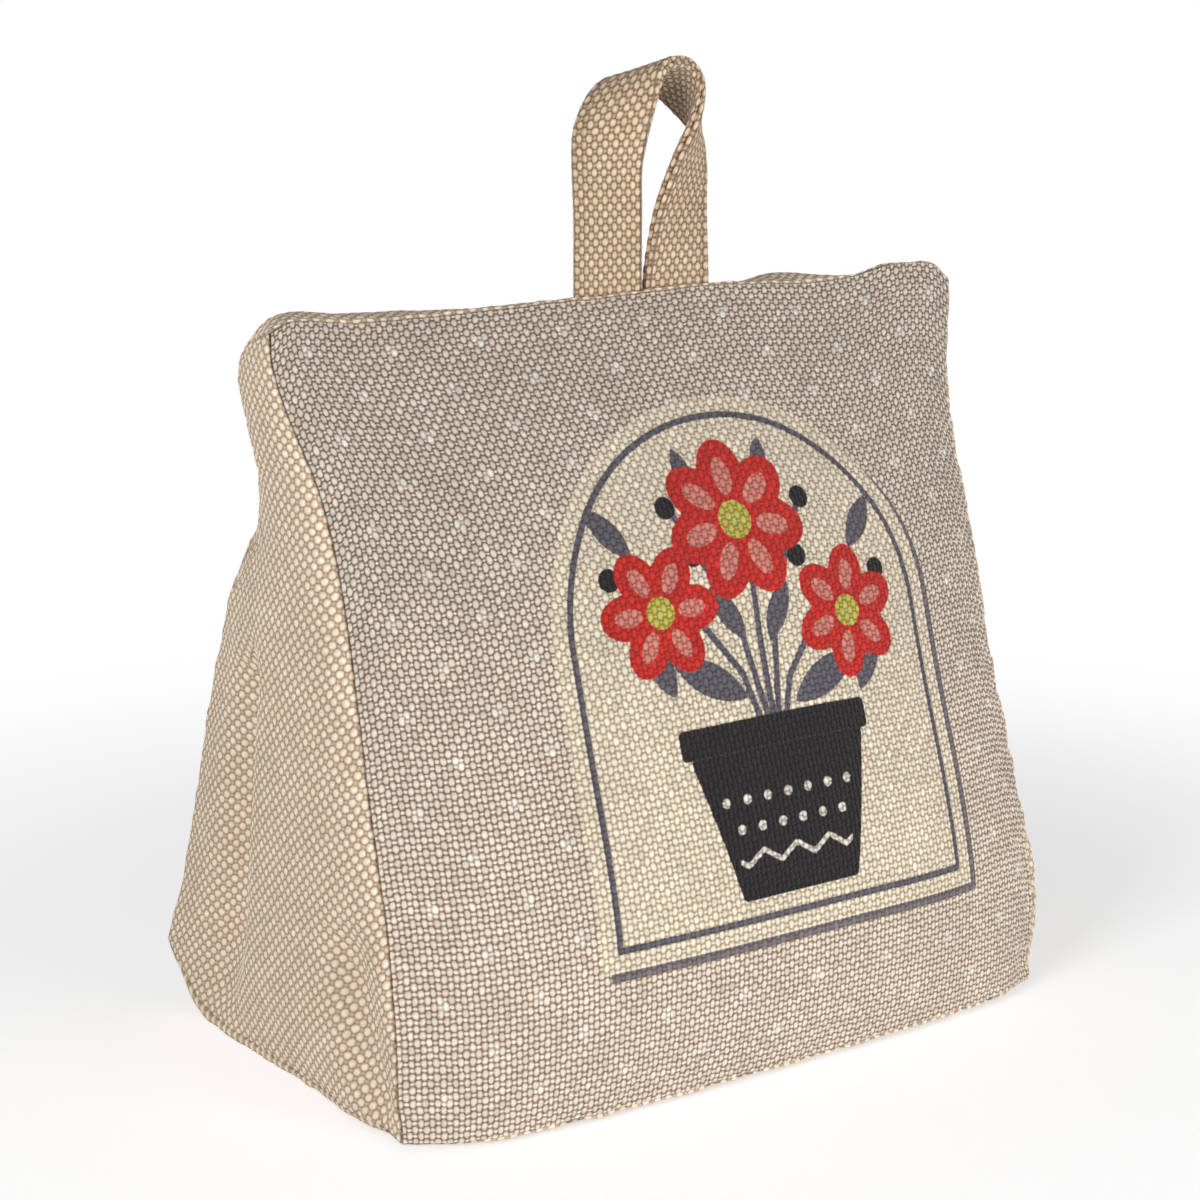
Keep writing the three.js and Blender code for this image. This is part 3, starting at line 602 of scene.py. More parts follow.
def weave_height(warp_count, weft_count, floats):
    """Height of a plain weave of floats, up to 1."""
    a, b = warp_count - 0.5, weft_count - 0.5
    x, y = np.abs(a - 2 * np.round(a / 2)), np.abs(b - 2 * np.round(b / 2))
    wide, long, level_wide, level_long, level = floats
    upright = np.maximum(
        1 - (x / wide) ** 2 - (y / long) ** 2, 1 - ((1 - x) / wide) ** 2 - ((1 - y) / long) ** 2
    )
    flat = np.maximum(
        level - (x / level_long) ** 2 - ((1 - y) / level_wide) ** 2,
        level - ((1 - x) / level_long) ** 2 - (y / level_wide) ** 2,
    )
    return np.clip(np.maximum(upright, flat), LOWEST_GAP, 1)


def roll_sink(distance, radius):
    """How far rounded cloth has dropped at a distance from its seam."""
    left = np.clip(radius - distance, 0, radius)
    return radius - np.sqrt(np.clip(radius**2 - left**2, 0, None))


def pucker(points, lengths):
    """Small waves that the thread pulls into the cloth beside a seam."""
    made = np.array([
        sum(strength * noise.noise(Vector(p) * waves) for waves, strength in PUCKER_WAVES)
        for p in points.reshape(-1, 3)
    ])
    return PUCKER_DEPTH * made.reshape(points.shape[:-1]) * np.exp(-((lengths / PUCKER_REACH) ** 2))


def piece_object(name, points, faces, fabric, attributes, material):
    """A mesh object from points in millimetres, with the place in the cloth as its UV map."""
    mesh = bpy.data.meshes.new(name)
    mesh.from_pydata((points * MM).tolist(), [], faces)
    uv = mesh.uv_layers.new(name="fabric")
    loops = np.empty(len(mesh.loops), np.int32)
    mesh.loops.foreach_get("vertex_index", loops)
    uv.data.foreach_set("uv", fabric[loops].astype(np.float32).ravel())
    for key, values in attributes.items():
        layer = mesh.attributes.new(key, "FLOAT", "POINT")
        layer.data.foreach_set("value", np.asarray(values, np.float32).ravel())
    mesh.shade_smooth()
    mesh.materials.append(material)
    mesh.update()
    made = bpy.data.objects.new(name, mesh)
    bpy.context.scene.collection.objects.link(made)
    return made


def yarn_lines(path, pitch, edge=0.3):
    """Shares along a path and the yarns counted there, at each yarn's middle and side and by the seams."""
    fine = np.linspace(0, 1, LINE_POINTS)
    steps = np.linalg.norm(np.diff(path(fine), axis=0), axis=1)
    length = np.concatenate([[0], np.cumsum(steps)])
    whole = length[-1]
    count = round(whole / pitch)
    lines = np.unique(np.concatenate([np.linspace(0, whole, 2 * count + 1), [edge, whole - edge]]))
    return np.interp(lines, length, fine), lines / whole * count


def woven_grid(bag, name, warp_pitch, weft_pitch, floats):
    """A four-sided panel as points, faces, places in the cloth and distances from its seams."""
    at = bag.panel(name)
    us, warps = yarn_lines(lambda t: at(t, np.full_like(t, LEVEL_LINE)), warp_pitch)
    vs, wefts = yarn_lines(lambda t: at(np.full_like(t, UPRIGHT_LINE), t), weft_pitch)
    u, v = np.meshgrid(us, vs, indexing="ij")
    warp, weft = np.meshgrid(warps, wefts, indexing="ij")
    points = at(u, v)
    out = bag.facing(name, u, v)
    distance = {
        "u0": warp * warp_pitch, "u1": (warps[-1] - warp) * warp_pitch,
        "v0": weft * weft_pitch, "v1": (wefts[-1] - weft) * weft_pitch,
    }
    nearest = np.minimum.reduce(list(distance.values()))
    points = points + out * pucker(points, nearest)[..., None]
    points = points + out * (weave_height(warp, weft, floats) * bag.relief)[..., None]
    tucked = {}
    for edge, away in distance.items():
        t = v if edge[0] == "u" else u
        inward = seam_inward(bag, name, edge, t)
        points = points + inward * roll_sink(away, bag.seam_roll)[..., None]
        tucked[edge] = inward
    # The turned-in edge goes on one more row past each seam.
    grid = np.full((len(us) + 2, len(vs) + 2, 3), np.nan)
    grid[1:-1, 1:-1] = points
    grid[0, 1:-1] = points[0] + tucked["u0"][0] * bag.seam_tuck
    grid[-1, 1:-1] = points[-1] + tucked["u1"][-1] * bag.seam_tuck
    grid[1:-1, 0] = points[:, 0] + tucked["v0"][:, 0] * bag.seam_tuck
    grid[1:-1, -1] = points[:, -1] + tucked["v1"][:, -1] * bag.seam_tuck
    for i, one in ((0, "u0"), (-1, "u1")):
        for j, other in ((0, "v0"), (-1, "v1")):
            inward = normalised(tucked[one][i, j] + tucked[other][i, j])
            grid[i, j] = points[i, j] + inward * bag.seam_tuck
    fabric = np.stack(
        [np.pad(warp, 1, mode="edge") * warp_pitch, np.pad(weft, 1, mode="edge") * weft_pitch], -1
    )
    near = np.pad(nearest, 1, mode="edge")
    near[0], near[-1], near[:, 0], near[:, -1] = 0, 0, 0, 0
    index = np.arange(near.size).reshape(near.shape)
    a, b, c, d = index[:-1, :-1], index[1:, :-1], index[1:, 1:], index[:-1, 1:]
    order = (a, b, c, d) if name == "front" else (a, d, c, b)
    faces = np.stack([o.ravel() for o in order], -1).tolist()
    return pulled(grid.reshape(-1, 3)), faces, fabric.reshape(-1, 2), near.ravel()


def side_shares(bag, side, y, z):
    """The shares of the points of a side panel that have these depths and heights."""
    u = np.full_like(y, 0.5)
    v = np.full_like(y, 0.5)
    for _ in range(SHARE_ROUNDS):
        bottom = bag.side_hem(side, np.clip(u, 0, 1))[..., 2]
        v = np.clip((z - bottom) / (bag.ridge_height - bottom), 0, TOP_SHARE)
        front = bag.front_seam(side, v)[..., 1]
        back = bag.back_seam(side, v)[..., 1]
        u = np.clip((y - front) / np.maximum(back - front, LEAST_DEPTH), 0, 1)
    return u, v


def side_outline(bag, side, step):
    """The seams round a side panel, as shares, depth and height, with the edge that each point lies on."""
    outline = []
    for edge, length in (("v0", bag.depth), ("u1", bag.ridge_height), ("u0", bag.ridge_height)):
        count = round(length / step)
        t = np.arange(count) / count
        if edge == "v0":
            u, v = t, np.zeros(count)
        elif edge == "u1":
            u, v = np.ones(count), t
        else:
            u, v = np.zeros(count), 1 - t
        outline += [(edge, a, b) for a, b in zip(u, v)]
    return outline


def side_lengths(bag, name, u, v):
    """Depths of the points of a side panel, measured along the cloth from the panel's middle."""
    last = SIDE_LENGTH_LINES
    shares = np.linspace(0, 1, last + 1)
    at = bag.panel(name)(*np.meshgrid(shares, shares, indexing="ij"))
    steps = np.linalg.norm(np.diff(at, axis=0), axis=-1)
    along = np.concatenate([np.zeros((1, last + 1)), np.cumsum(steps, 0)])
    along += at[last // 2, :, 1] - along[last // 2]
    a, b = np.clip(u, 0, 1) * last, np.clip(v, 0, 1) * last
    i, j = np.minimum(a.astype(int), last - 1), np.minimum(b.astype(int), last - 1)
    low = lerp(along[i, j], along[i + 1, j], a - i)
    high = lerp(along[i, j + 1], along[i + 1, j + 1], a - i)
    return lerp(low, high, b - j)


def woven_side(bag, name):
    """A side panel: upright and level yarns, cut by the seams round it."""
    side = -1 if name == "left" else 1
    outline = side_outline(bag, side, SIDE_SEAM_STEP)
    u = np.array([o[1] for o in outline])
    v = np.array([o[2] for o in outline])
    ring = bag.panel(name)(u, v)[:, 1:]
    following, before = np.roll(ring, -1, 0), np.roll(ring, 1, 0)
    along = normalised(following - before)
    inside = np.stack([-along[:, 1], along[:, 0]], -1)
    rings = [ring] + [ring + inside * away for away in SIDE_ROWS]
    tree = kdtree.KDTree(len(ring))
    for k, p in enumerate(ring):
        tree.insert((p[0], p[1], 0), k)
    tree.balance()
    step, rise = bag.cream_warp_pitch / POINTS_PER_PITCH, bag.cream_weft_pitch / POINTS_PER_PITCH
    low, high = ring.min(0), ring.max(0)
    reach = (high[1] - low[1]) * abs(SIDE_YARN_LEAN)
    ys = np.arange(math.floor((low[0] - reach) / step), math.ceil((high[0] + reach) / step) + 1)
    zs = np.arange(math.floor(low[1] / rise), math.ceil(high[1] / rise) + 1)
    warp, weft = np.meshgrid(ys, zs, indexing="ij")
    y = warp * step + SIDE_YARN_LEAN * weft * rise
    z = weft * rise
    gu, gv = side_shares(bag, side, y.ravel(), z.ravel())
    back_at = bag.panel(name)(gu, gv)[:, 1:]
    within = np.linalg.norm(back_at - np.stack([y.ravel(), z.ravel()], -1), axis=-1) < ON_PANEL
    lattice = np.stack([y.ravel(), z.ravel()], -1)[within]
    near = np.array([tree.find((p[0], p[1], 0))[2] for p in lattice])
    lattice = lattice[near > SIDE_LATTICE_START]
    flat = np.concatenate([*rings, lattice])
    count = len(ring)
    bounds = [(k, (k + 1) % count) for k in range(count)]
    made = geometry.delaunay_2d_cdt([Vector(p) for p in flat], bounds, [], 1, ONE_POINT)
    plane = np.array([tuple(p) for p in made[0]])
    faces = [list(f) for f in made[2]]
    u, v = side_shares(bag, side, plane[:, 0], plane[:, 1])
    points = bag.panel(name)(u, v)
    out = bag.facing(name, u, v)
    found = [tree.find((p[0], p[1], 0)) for p in plane]
    distance = np.array([f[2] for f in found])
    edge = np.array([outline[f[1]][0] for f in found])
    points = points + out * pucker(points, distance)[..., None]
    weft_count = plane[:, 1] / bag.cream_weft_pitch
    upright = side_lengths(bag, name, u, v) - SIDE_YARN_LEAN * plane[:, 1]
    warp_count = upright / bag.cream_warp_pitch
    points = points + out * (weave_height(warp_count, weft_count, CREAM_FLOATS) * bag.relief)[..., None]
    inward = np.zeros_like(points)
    for which, t in (("u0", v), ("u1", v), ("v0", u)):
        here = edge == which
        inward[here] = seam_inward(bag, name, which, t[here])
    points = points + inward * roll_sink(distance, bag.seam_roll)[..., None]
    fabric = np.stack([warp_count * bag.cream_warp_pitch, weft_count * bag.cream_weft_pitch], -1)
    # The turned-in edge goes on one more row past each seam.
    border = [k for k in range(len(plane)) if distance[k] < ON_SEAM]
    order = sorted(border, key=lambda k: found[k][1])
    start = len(points)
    points = np.concatenate([points, points[order] + inward[order] * bag.seam_tuck])
    fabric = np.concatenate([fabric, fabric[order]])
    distance = np.concatenate([distance, np.zeros(len(order))])
    ring_faces = []
    for k, vertex in enumerate(order):
        n = (k + 1) % len(order)
        ring_faces.append([vertex, order[n], start + n, start + k][::-1])
    facing_x = np.cross(
        points[faces[0][1]] - points[faces[0][0]], points[faces[0][2]] - points[faces[0][0]]
    )[0]
    if facing_x * side < 0:
        faces = [f[::-1] for f in faces]
        ring_faces = [f[::-1] for f in ring_faces]
    return pulled(points), faces + ring_faces, fabric, distance


# Print on the front, as distances in millimetres from each field's edge


def disc(x, y, cx, cy, radius):
    return np.hypot(x - cx, y - cy) - radius


def turned(x, y, cx, cy, angle):
    """Places along and over a line through cx, cy at an angle in degrees."""
    c, s = math.cos(math.radians(angle)), math.sin(math.radians(angle))
    return (x - cx) * c + (y - cy) * s, -(x - cx) * s + (y - cy) * c


def leaf(x, y, cx, cy, angle, length, width):
    """A pointed leaf with its middle at cx, cy."""
    along, over = turned(x, y, cx, cy, angle)
    radius = (length**2 + width**2) / (4 * width)
    return np.hypot(along, np.abs(over) + radius - width / 2) - radius


def oval(x, y, cx, cy, angle, long, wide):
    along, over = turned(x, y, cx, cy, angle)
    along, over = along / long, over / wide
    far = np.hypot(along, over)
    slope = np.hypot(along / long, over / wide)
    return (far - 1) * far / np.maximum(slope, 1e-6)


def line(x, y, points, width):
    """A drawn line through points."""
    at, stops = np.stack([x, y], -1), np.array(points, float)
    return np.minimum.reduce([apart(at, a, b) for a, b in zip(stops, stops[1:])]) - width / 2


def polygon(x, y, corners):
    """Distance from the edge of a shape with straight sides."""
    inside = np.zeros(x.shape, bool)
    for (ax, ay), (bx, by) in zip(corners, corners[1:] + corners[:1]):
        if by != ay:
            crosses = (ay > y) != (by > y)
            inside ^= crosses & (x < ax + (y - ay) * (bx - ax) / (by - ay))
    away = line(x, y, [*corners, corners[0]], 0)
    return np.where(inside, -away, away)


def arch(x, y, half, top):
    """An upright shape with a round top and a straight foot."""
    straight = top - half
    box = np.maximum(np.abs(x) - half, -y)
    cap = np.hypot(x, y - straight) - half
    return np.where(y > straight, cap, box)


def flower(x, y, cx, cy, radius, petals, turn):
    """The red petals, pink inner petals and centre of one flower."""
    red = np.full_like(x, FAR)
    pink = np.full_like(x, FAR)
    for k in range(petals):
        angle = turn + 360 * k / petals
        px = cx + PETAL_PLACE * radius * math.cos(math.radians(angle))
        py = cy + PETAL_PLACE * radius * math.sin(math.radians(angle))
        red = np.minimum(red, oval(x, y, px, py, angle, *(share * radius for share in PETAL)))
        pink = np.minimum(pink, oval(x, y, px, py, angle, *(share * radius for share in INNER_PETAL)))
    return red, pink, disc(x, y, cx, cy, FLOWER_CENTRE * radius)


def print_fields(x, y):
    """Distances from the edge of each printed colour, for places on the front panel."""
    x, y = (x - PRINT_PLACE[0]) / PRINT_SCALE, (y - PRINT_PLACE[1]) / PRINT_SCALE
    far = np.full_like(x, FAR)
    ring = arch(x, y - RING_INSET, ARCH_HALF - RING_INSET, ARCH_TOP - 2 * RING_INSET)
    slate = np.abs(ring) - RING_HALF_WIDTH
    for stem in STEMS:
        slate = np.minimum(slate, line(x, y, stem, STEM_WIDTH))
    for one in LEAVES:
        slate = np.minimum(slate, leaf(x, y, *one))
    black = np.minimum(polygon(x, y, POT) - POT_ROUNDING, polygon(x, y, POT_RIM) - RIM_ROUNDING)
    for cx, cy in BERRIES:
        black = np.minimum(black, disc(x, y, cx, cy, BERRY_RADIUS))
    red, pink, green = far, far, far
    for one in FLOWERS:
        r, p, g = flower(x, y, *one)
        red, pink, green = np.minimum(red, r), np.minimum(pink, p), np.minimum(green, g)
    white = far
    for count, first, height in POT_DOT_ROWS:
        for k in range(count):
            white = np.minimum(white, disc(x, y, first + POT_DOT_SPACING * k, height, POT_DOT_RADIUS))
    zigzag = np.maximum(line(x, y, ZIGZAG, ZIGZAG_WIDTH), np.abs(x) - ZIGZAG_HALF)
    fields = {
        "cream": arch(x, y, ARCH_HALF, ARCH_TOP),
        "slate_under": arch(x - ARCH_SHADOW, y + ARCH_SHADOW, ARCH_HALF, ARCH_TOP),
        "slate": slate, "black": black, "red": red, "pink": pink, "green": green,
        "white": np.minimum(white, zigzag),
    }
    return {name: distance * PRINT_SCALE for name, distance in fields.items()}


# Materials


class Wire:
    """A value inside a node tree. Arithmetic on it adds Math nodes."""

    def __init__(self, tree, socket):
        self.tree, self.socket = tree, socket

    def math(self, operation, *others):
        node = self.tree.nodes.new("ShaderNodeMath")
        node.operation = operation
        for value, socket in zip((self, *others), node.inputs):
            plug(self.tree, value, socket)
        return Wire(self.tree, node.outputs[0])

    def __add__(self, other):
        return self.math("ADD", other)

    def __sub__(self, other):
        return self.math("SUBTRACT", other)

    def __mul__(self, other):
        return self.math("MULTIPLY", other)

    def __truediv__(self, other):
        return self.math("DIVIDE", other)

    def smooth(self, low, high, start=0.0, end=1.0):
        node = self.tree.nodes.new("ShaderNodeMapRange")
        node.interpolation_type = "SMOOTHSTEP"
        for value, socket in zip((self, low, high, start, end), node.inputs):
            plug(self.tree, value, socket)
        return Wire(self.tree, node.outputs[0])


def plug(tree, value, socket):
    """Links a wire to a socket, or sets the socket to a plain value."""
    if isinstance(value, Wire):
        tree.links.new(value.socket, socket)
    else:
        socket.default_value = value


def mixed_colour(tree, share, a, b, kind="MIX"):
    node = tree.nodes.new("ShaderNodeMix")
    node.data_type, node.blend_type = "RGBA", kind
    for value, socket in ((share, node.inputs[0]), (a, node.inputs[6]), (b, node.inputs[7])):
        plug(tree, (*value, 1.0) if isinstance(value, tuple) else value, socket)
    return Wire(tree, node.outputs[2])


def noise_wire(tree, vector, scale, detail=2.0, roughness=0.5):
    node = tree.nodes.new("ShaderNodeTexNoise")
    plug(tree, vector, node.inputs["Vector"])
    node.inputs["Scale"].default_value = scale
    node.inputs["Detail"].default_value = detail
    node.inputs["Roughness"].default_value = roughness
    return Wire(tree, node.outputs["Fac"])


def combined(tree, x, y, z=0.0):
    node = tree.nodes.new("ShaderNodeCombineXYZ")
    for value, socket in zip((x, y, z), node.inputs):
        plug(tree, value, socket)
    return Wire(tree, node.outputs[0])


def separated(tree, vector):
    """Wires of a vector's three parts."""
    split = tree.nodes.new("ShaderNodeSeparateXYZ")
    plug(tree, vector, split.inputs[0])
    return [Wire(tree, output) for output in split.outputs]


def new_group(name, inputs, outputs):
    """An empty shader node group with its sockets, and wires of its inputs by name."""
    group = bpy.data.node_groups.new(name, "ShaderNodeTree")
    for title, kind, default in inputs:
        socket = group.interface.new_socket(name=title, in_out="INPUT", socket_type=kind)
        if default is not None:
            socket.default_value = default
    for title, kind in outputs:
        group.interface.new_socket(name=title, in_out="OUTPUT", socket_type=kind)
    entry = group.nodes.new("NodeGroupInput")
    leave = group.nodes.new("NodeGroupOutput")
    wires = {title: Wire(group, entry.outputs[title]) for title, _, _ in inputs}
    return group, wires, leave


def plain_weave_group():
    """Crossing yarns as a chequer of floats: height, which yarn is on top, the masks of painted shade in gaps
    and pits, and each float's tone.
    """
    name = "Plain Weave"
    if name in bpy.data.node_groups:
        return bpy.data.node_groups[name]
    number, vector = "NodeSocketFloat", "NodeSocketVector"
    group, given, leave = new_group(
        name,
        [("Fabric", vector, None), ("Warp Pitch", number, 1.35), ("Weft Pitch", number, 1.35),
         ("Wander", number, 0.4), ("Warp Width", number, 0.8), ("Warp Length", number, 0.8),
         ("Weft Width", number, 0.5), ("Weft Length", number, 0.6), ("Weft Level", number, 0.6),
         ("Gap Top", number, 0.9)],
        [("Height", number), ("Warp", number), ("Gap", number), ("Pit", number), ("Tone", number)],
    )
    x, y, _ = separated(group, given["Fabric"])

    def wandering(vector):
        slow, quick = (noise_wire(group, vector, waves) - 0.5 for waves in WANDER_WAVES)
        return (slow + quick * QUICK_WANDER) * given["Wander"]

    a = x / given["Warp Pitch"] - 0.5 + wandering(given["Fabric"])
    b = y / given["Weft Pitch"] - 0.5 + wandering(combined(group, y, x, 7.0))
    even_i, even_j = (a * 0.5).math("ROUND") * 2.0, (b * 0.5).math("ROUND") * 2.0
    off_a, off_b = a - even_i, b - even_j
    odd_i, odd_j = even_i + off_a.math("SIGN"), even_j + off_b.math("SIGN")
    near_a, near_b = off_a.math("ABSOLUTE"), off_b.math("ABSOLUTE")
    far_a, far_b = near_a * -1.0 + 1.0, near_b * -1.0 + 1.0
    thick = (noise_wire(group, given["Fabric"], SLUB_WAVES) - 0.5) * SLUBS + 1.0

    def raised(across, along, width, length, level):
        """Height of a float above its edge, from the shares of the pitches to its middle."""
        over, on = across / width, along / length
        return (over * over + on * on) * -1.0 + level

    wide, level_wide = given["Warp Width"] * thick, given["Weft Width"] * thick
    warp_even = raised(near_a, near_b, wide, given["Warp Length"], 1.0)
    warp_odd = raised(far_a, far_b, wide, given["Warp Length"], 1.0)
    weft_even = raised(far_b, near_a, level_wide, given["Weft Length"], given["Weft Level"])
    weft_odd = raised(near_b, far_a, level_wide, given["Weft Length"], given["Weft Level"])
    warp, weft = warp_even.math("MAXIMUM", warp_odd), weft_even.math("MAXIMUM", weft_odd)
    height = warp.math("MAXIMUM", weft).math("MAXIMUM", LOWEST_SHADED)
    on_top = warp.math("GREATER_THAN", weft)

    def chosen(share, first, second):
        return second + (first - second) * share

    first = chosen(on_top, warp_even.math("GREATER_THAN", warp_odd), weft_even.math("GREATER_THAN", weft_odd))
    i = chosen(first, even_i, odd_i)
    j = chosen(on_top, chosen(first, even_j, odd_j), chosen(first, odd_j, even_j))
    # Noise read at places far apart gives each yarn and each float a tone of its own.
    own_warp = noise_wire(group, combined(group, i * YARN_APART, y * ALONG_YARN, 1.0), 1.0, 1.0)
    own_weft = noise_wire(group, combined(group, x * ALONG_YARN, j * YARN_APART, 5.0), 1.0, 1.0)
    patch = noise_wire(group, combined(group, i * FLOAT_APART[0], j * FLOAT_APART[1], 9.0), 1.0, 0.0)
    plug(group, height, leave.inputs["Height"])
    plug(group, (warp - weft).smooth(-CROSSING_BLEND, CROSSING_BLEND), leave.inputs["Warp"])
    plug(group, height.smooth(given["Gap Top"], GAP_DEEP), leave.inputs["Gap"])
    plug(group, height.smooth(*PIT_HEIGHTS), leave.inputs["Pit"])
    plug(group, (chosen(on_top, own_warp, own_weft) + patch) / 2.0, leave.inputs["Tone"])
    return group


def fibre_group():
    """Loose fibres: a fine speckle of light and dark hairs over the yarns, and slow changes of tone."""
    name = "Yarn Fibres"
    if name in bpy.data.node_groups:
        return bpy.data.node_groups[name]
    number, vector = "NodeSocketFloat", "NodeSocketVector"
    group, given, leave = new_group(
        name, [("Fabric", vector, None), ("Strength", number, 0.2)], [("Speckle", number), ("Cloud", number)]
    )
    fine = noise_wire(group, given["Fabric"], *FIBRE_NOISE)
    slow = noise_wire(group, given["Fabric"], *CLOUD_NOISE)
    plug(group, (fine - 0.5) * given["Strength"] + 1.0, leave.inputs["Speckle"])
    plug(group, (slow - 0.5) * given["Strength"] * CLOUD_SHARE + 1.0, leave.inputs["Cloud"])
    return group


def seam_shade_group():
    """Painted shade on cloth that lies in a seam: darker towards the thread."""
    name = "Seam Shade"
    if name in bpy.data.node_groups:
        return bpy.data.node_groups[name]
    number, colour = "NodeSocketFloat", "NodeSocketColor"
    group, given, leave = new_group(
        name,
        [("Colour", colour, (1, 1, 1, 1)), ("Distance", number, 1.0), ("Width", number, 0.6),
         ("Depth", number, 0.6)],
        [("Colour", colour)],
    )
    share = given["Distance"].smooth(0.0, given["Width"], 1.0, 0.0) * given["Depth"]
    plug(group, mixed_colour(group, share, given["Colour"], SEAM_SHADE_COLOUR), leave.inputs["Colour"])
    return group


def placed(tree, group, **inputs):
    """Places a node group in a material, and gives wires of its outputs by name."""
    node = tree.nodes.new("ShaderNodeGroup")
    node.node_tree = group
    for title, value in inputs.items():
        plug(tree, value, node.inputs[title.replace("_", " ")])
    return {socket.name: Wire(tree, socket) for socket in node.outputs}


def attribute(tree, name):
    node = tree.nodes.new("ShaderNodeAttribute")
    node.attribute_name = name
    return Wire(tree, node.outputs["Fac"])


def bumped(tree, height, shader, strength, distance):
    """Small relief on a shader's surface, from a wire of heights."""
    relief = tree.nodes.new("ShaderNodeBump")
    relief.inputs["Strength"].default_value = strength
    relief.inputs["Distance"].default_value = distance
    plug(tree, height, relief.inputs["Height"])
    tree.links.new(relief.outputs[0], shader.inputs["Normal"])


def new_material(name):
    """A material with its node tree and its main shader."""
    material = bpy.data.materials.new(name)
    material.use_nodes = True
    return material, material.node_tree, material.node_tree.nodes["Principled BSDF"]


def woven_material(name, colours, pitches, floats, tones, top_floats=None, decorate=None):
    """Coarse plain-woven cloth of two yarn colours, with painted shade in its gaps, pits and seams. decorate
    adds what is printed on it.
    """
    tone_range, wander, gap_top = tones
    material, tree, shader = new_material(name)
    uv = tree.nodes.new("ShaderNodeUVMap")
    uv.uv_map = "fabric"
    fabric = Wire(tree, uv.outputs[0])
    if top_floats:
        # The cloth is stretched more towards the top, which makes the upright yarns stand out.
        up = separated(tree, fabric)[1]
        floats = [up.smooth(*FLOATS_CHANGE, low, high) for low, high in zip(floats, top_floats)]
        # Painted shade: the yarns and the gaps darken towards the top of the front.
        top_shade, top_gap_shade = up.smooth(*TOP_YARN_SHADE), up.smooth(*TOP_GAP_SHADE)
    else:
        top_shade, top_gap_shade = 1.0, 1.0
    weave = placed(
        tree, plain_weave_group(), Fabric=fabric, Warp_Pitch=pitches[0], Weft_Pitch=pitches[1], Wander=wander,
        Warp_Width=floats[0], Warp_Length=floats[1], Weft_Width=floats[2], Weft_Length=floats[3],
        Weft_Level=floats[4], Gap_Top=gap_top,
    )
    fibres = placed(tree, fibre_group(), Fabric=fabric, Strength=FIBRE_STRENGTH)
    warp_colour, weft_colour, gap_shade_colour = colours
    yarn = mixed_colour(tree, weave["Warp"], weft_colour, warp_colour)
    shade = (weave["Tone"] - 0.5) * tone_range + 1.0
    inked = 0.0
    if decorate:
        yarn, inked = decorate(tree, fabric, yarn)
    shade = shade * fibres["Speckle"] * fibres["Cloud"] * top_shade
    grey = combined(tree, shade, shade, shade)
    cloth = mixed_colour(tree, 1.0, yarn, grey, "MULTIPLY")
    if top_floats:
        # Painted shade: the gaps darken towards the top of the front.
        tint = combined(tree, *(top_gap_shade * share for share in TOP_GAP_SHADE_TINT))
        gap_shade_colour = mixed_colour(tree, 1.0, gap_shade_colour, tint, "MULTIPLY")
    # Painted shade: the cloth darkens down the flanks of each float into the gaps.
    deep = mixed_colour(tree, CLOTH_IN_GAP_SHADE, gap_shade_colour, cloth)
    # Painted shade in the gaps under print: a darker copy of the inked cloth.
    deep = mixed_colour(tree, inked, deep, mixed_colour(tree, 1.0, cloth, INKED_GAP_SHADE, "MULTIPLY"))
    cloth = mixed_colour(tree, weave["Gap"], cloth, deep)
    # Painted shade: near black in the deepest pits of the weave.
    cloth = mixed_colour(tree, weave["Pit"] * PIT_SHADE_SHARE, cloth, PIT_SHADE_COLOUR)
    seam = placed(
        tree, seam_shade_group(), Colour=cloth, Distance=attribute(tree, "seam"), Width=SEAM_SHADE_WIDTH,
        Depth=SEAM_SHADE_DEPTH,
    )
    plug(tree, seam["Colour"], shader.inputs["Base Color"])
    plug(tree, weave["Gap"].smooth(0.0, 1.0, *CLOTH_ROUGHNESS), shader.inputs["Roughness"])
    shader.inputs["Specular IOR Level"].default_value = CLOTH_SPECULAR
    shader.inputs["Sheen Weight"].default_value = SHEEN
    shader.inputs["Sheen Roughness"].default_value = SHEEN_ROUGHNESS
    raised = weave["Height"] + (fibres["Speckle"] - 1.0) * SPECKLE_HEIGHT
    bumped(tree, raised, shader, BUMP_STRENGTH, BUMP_DISTANCE)
    return material


def colour_of(colours, key):
    return tuple(getattr(colours, key))


def yarn_colours(colours, cloth):
    """Colours of a cloth's upright yarns, its level yarns and the painted shade of its gaps."""
    return [colour_of(colours, f"{cloth}_{part}") for part in ("warp", "weft", "gap")]


def printed(sizes, colours):
    """What is printed on the front: a lattice of dots, and a motif with its fields of colour."""

    def decorate(tree, fabric, yarn):
        x, y, _ = separated(tree, fabric)
        spacing = sizes.dot_spacing / MM
        across, up = x / spacing, y / (spacing / 2)
        row = up.math("ROUND")
        shifted = across - (row * 0.5)
        dx = (shifted - shifted.math("ROUND")) * spacing
        dy = (up - row) * (spacing / 2)
        away = (dx * dx + dy * dy).math("SQRT")
        ragged = (noise_wire(tree, fabric, DOT_WAVES) - 0.5) * DOT_RAGGED
        radius = sizes.dot_radius / MM
        dot = (away + ragged).smooth(radius - DOT_SOFT_EDGE, radius + DOT_SOFT_EDGE, DOT_COVER, 0.0)
        cloth = mixed_colour(tree, dot, yarn, colour_of(colours, "dots"))
        inked = dot
        feather = (noise_wire(tree, fabric, FEATHER_WAVES) - 0.5) * PRINT_FEATHER
        for field, ink, cover in PRINT_ORDER:
            edge = attribute(tree, "print_" + field) + feather
            share = edge.smooth(-PRINT_SOFT_EDGE, PRINT_SOFT_EDGE, cover, 0.0)
            cloth = mixed_colour(tree, share, cloth, colour_of(colours, ink))
            inked = inked.math("MAXIMUM", share)
        return cloth, inked

    return decorate


# Operators


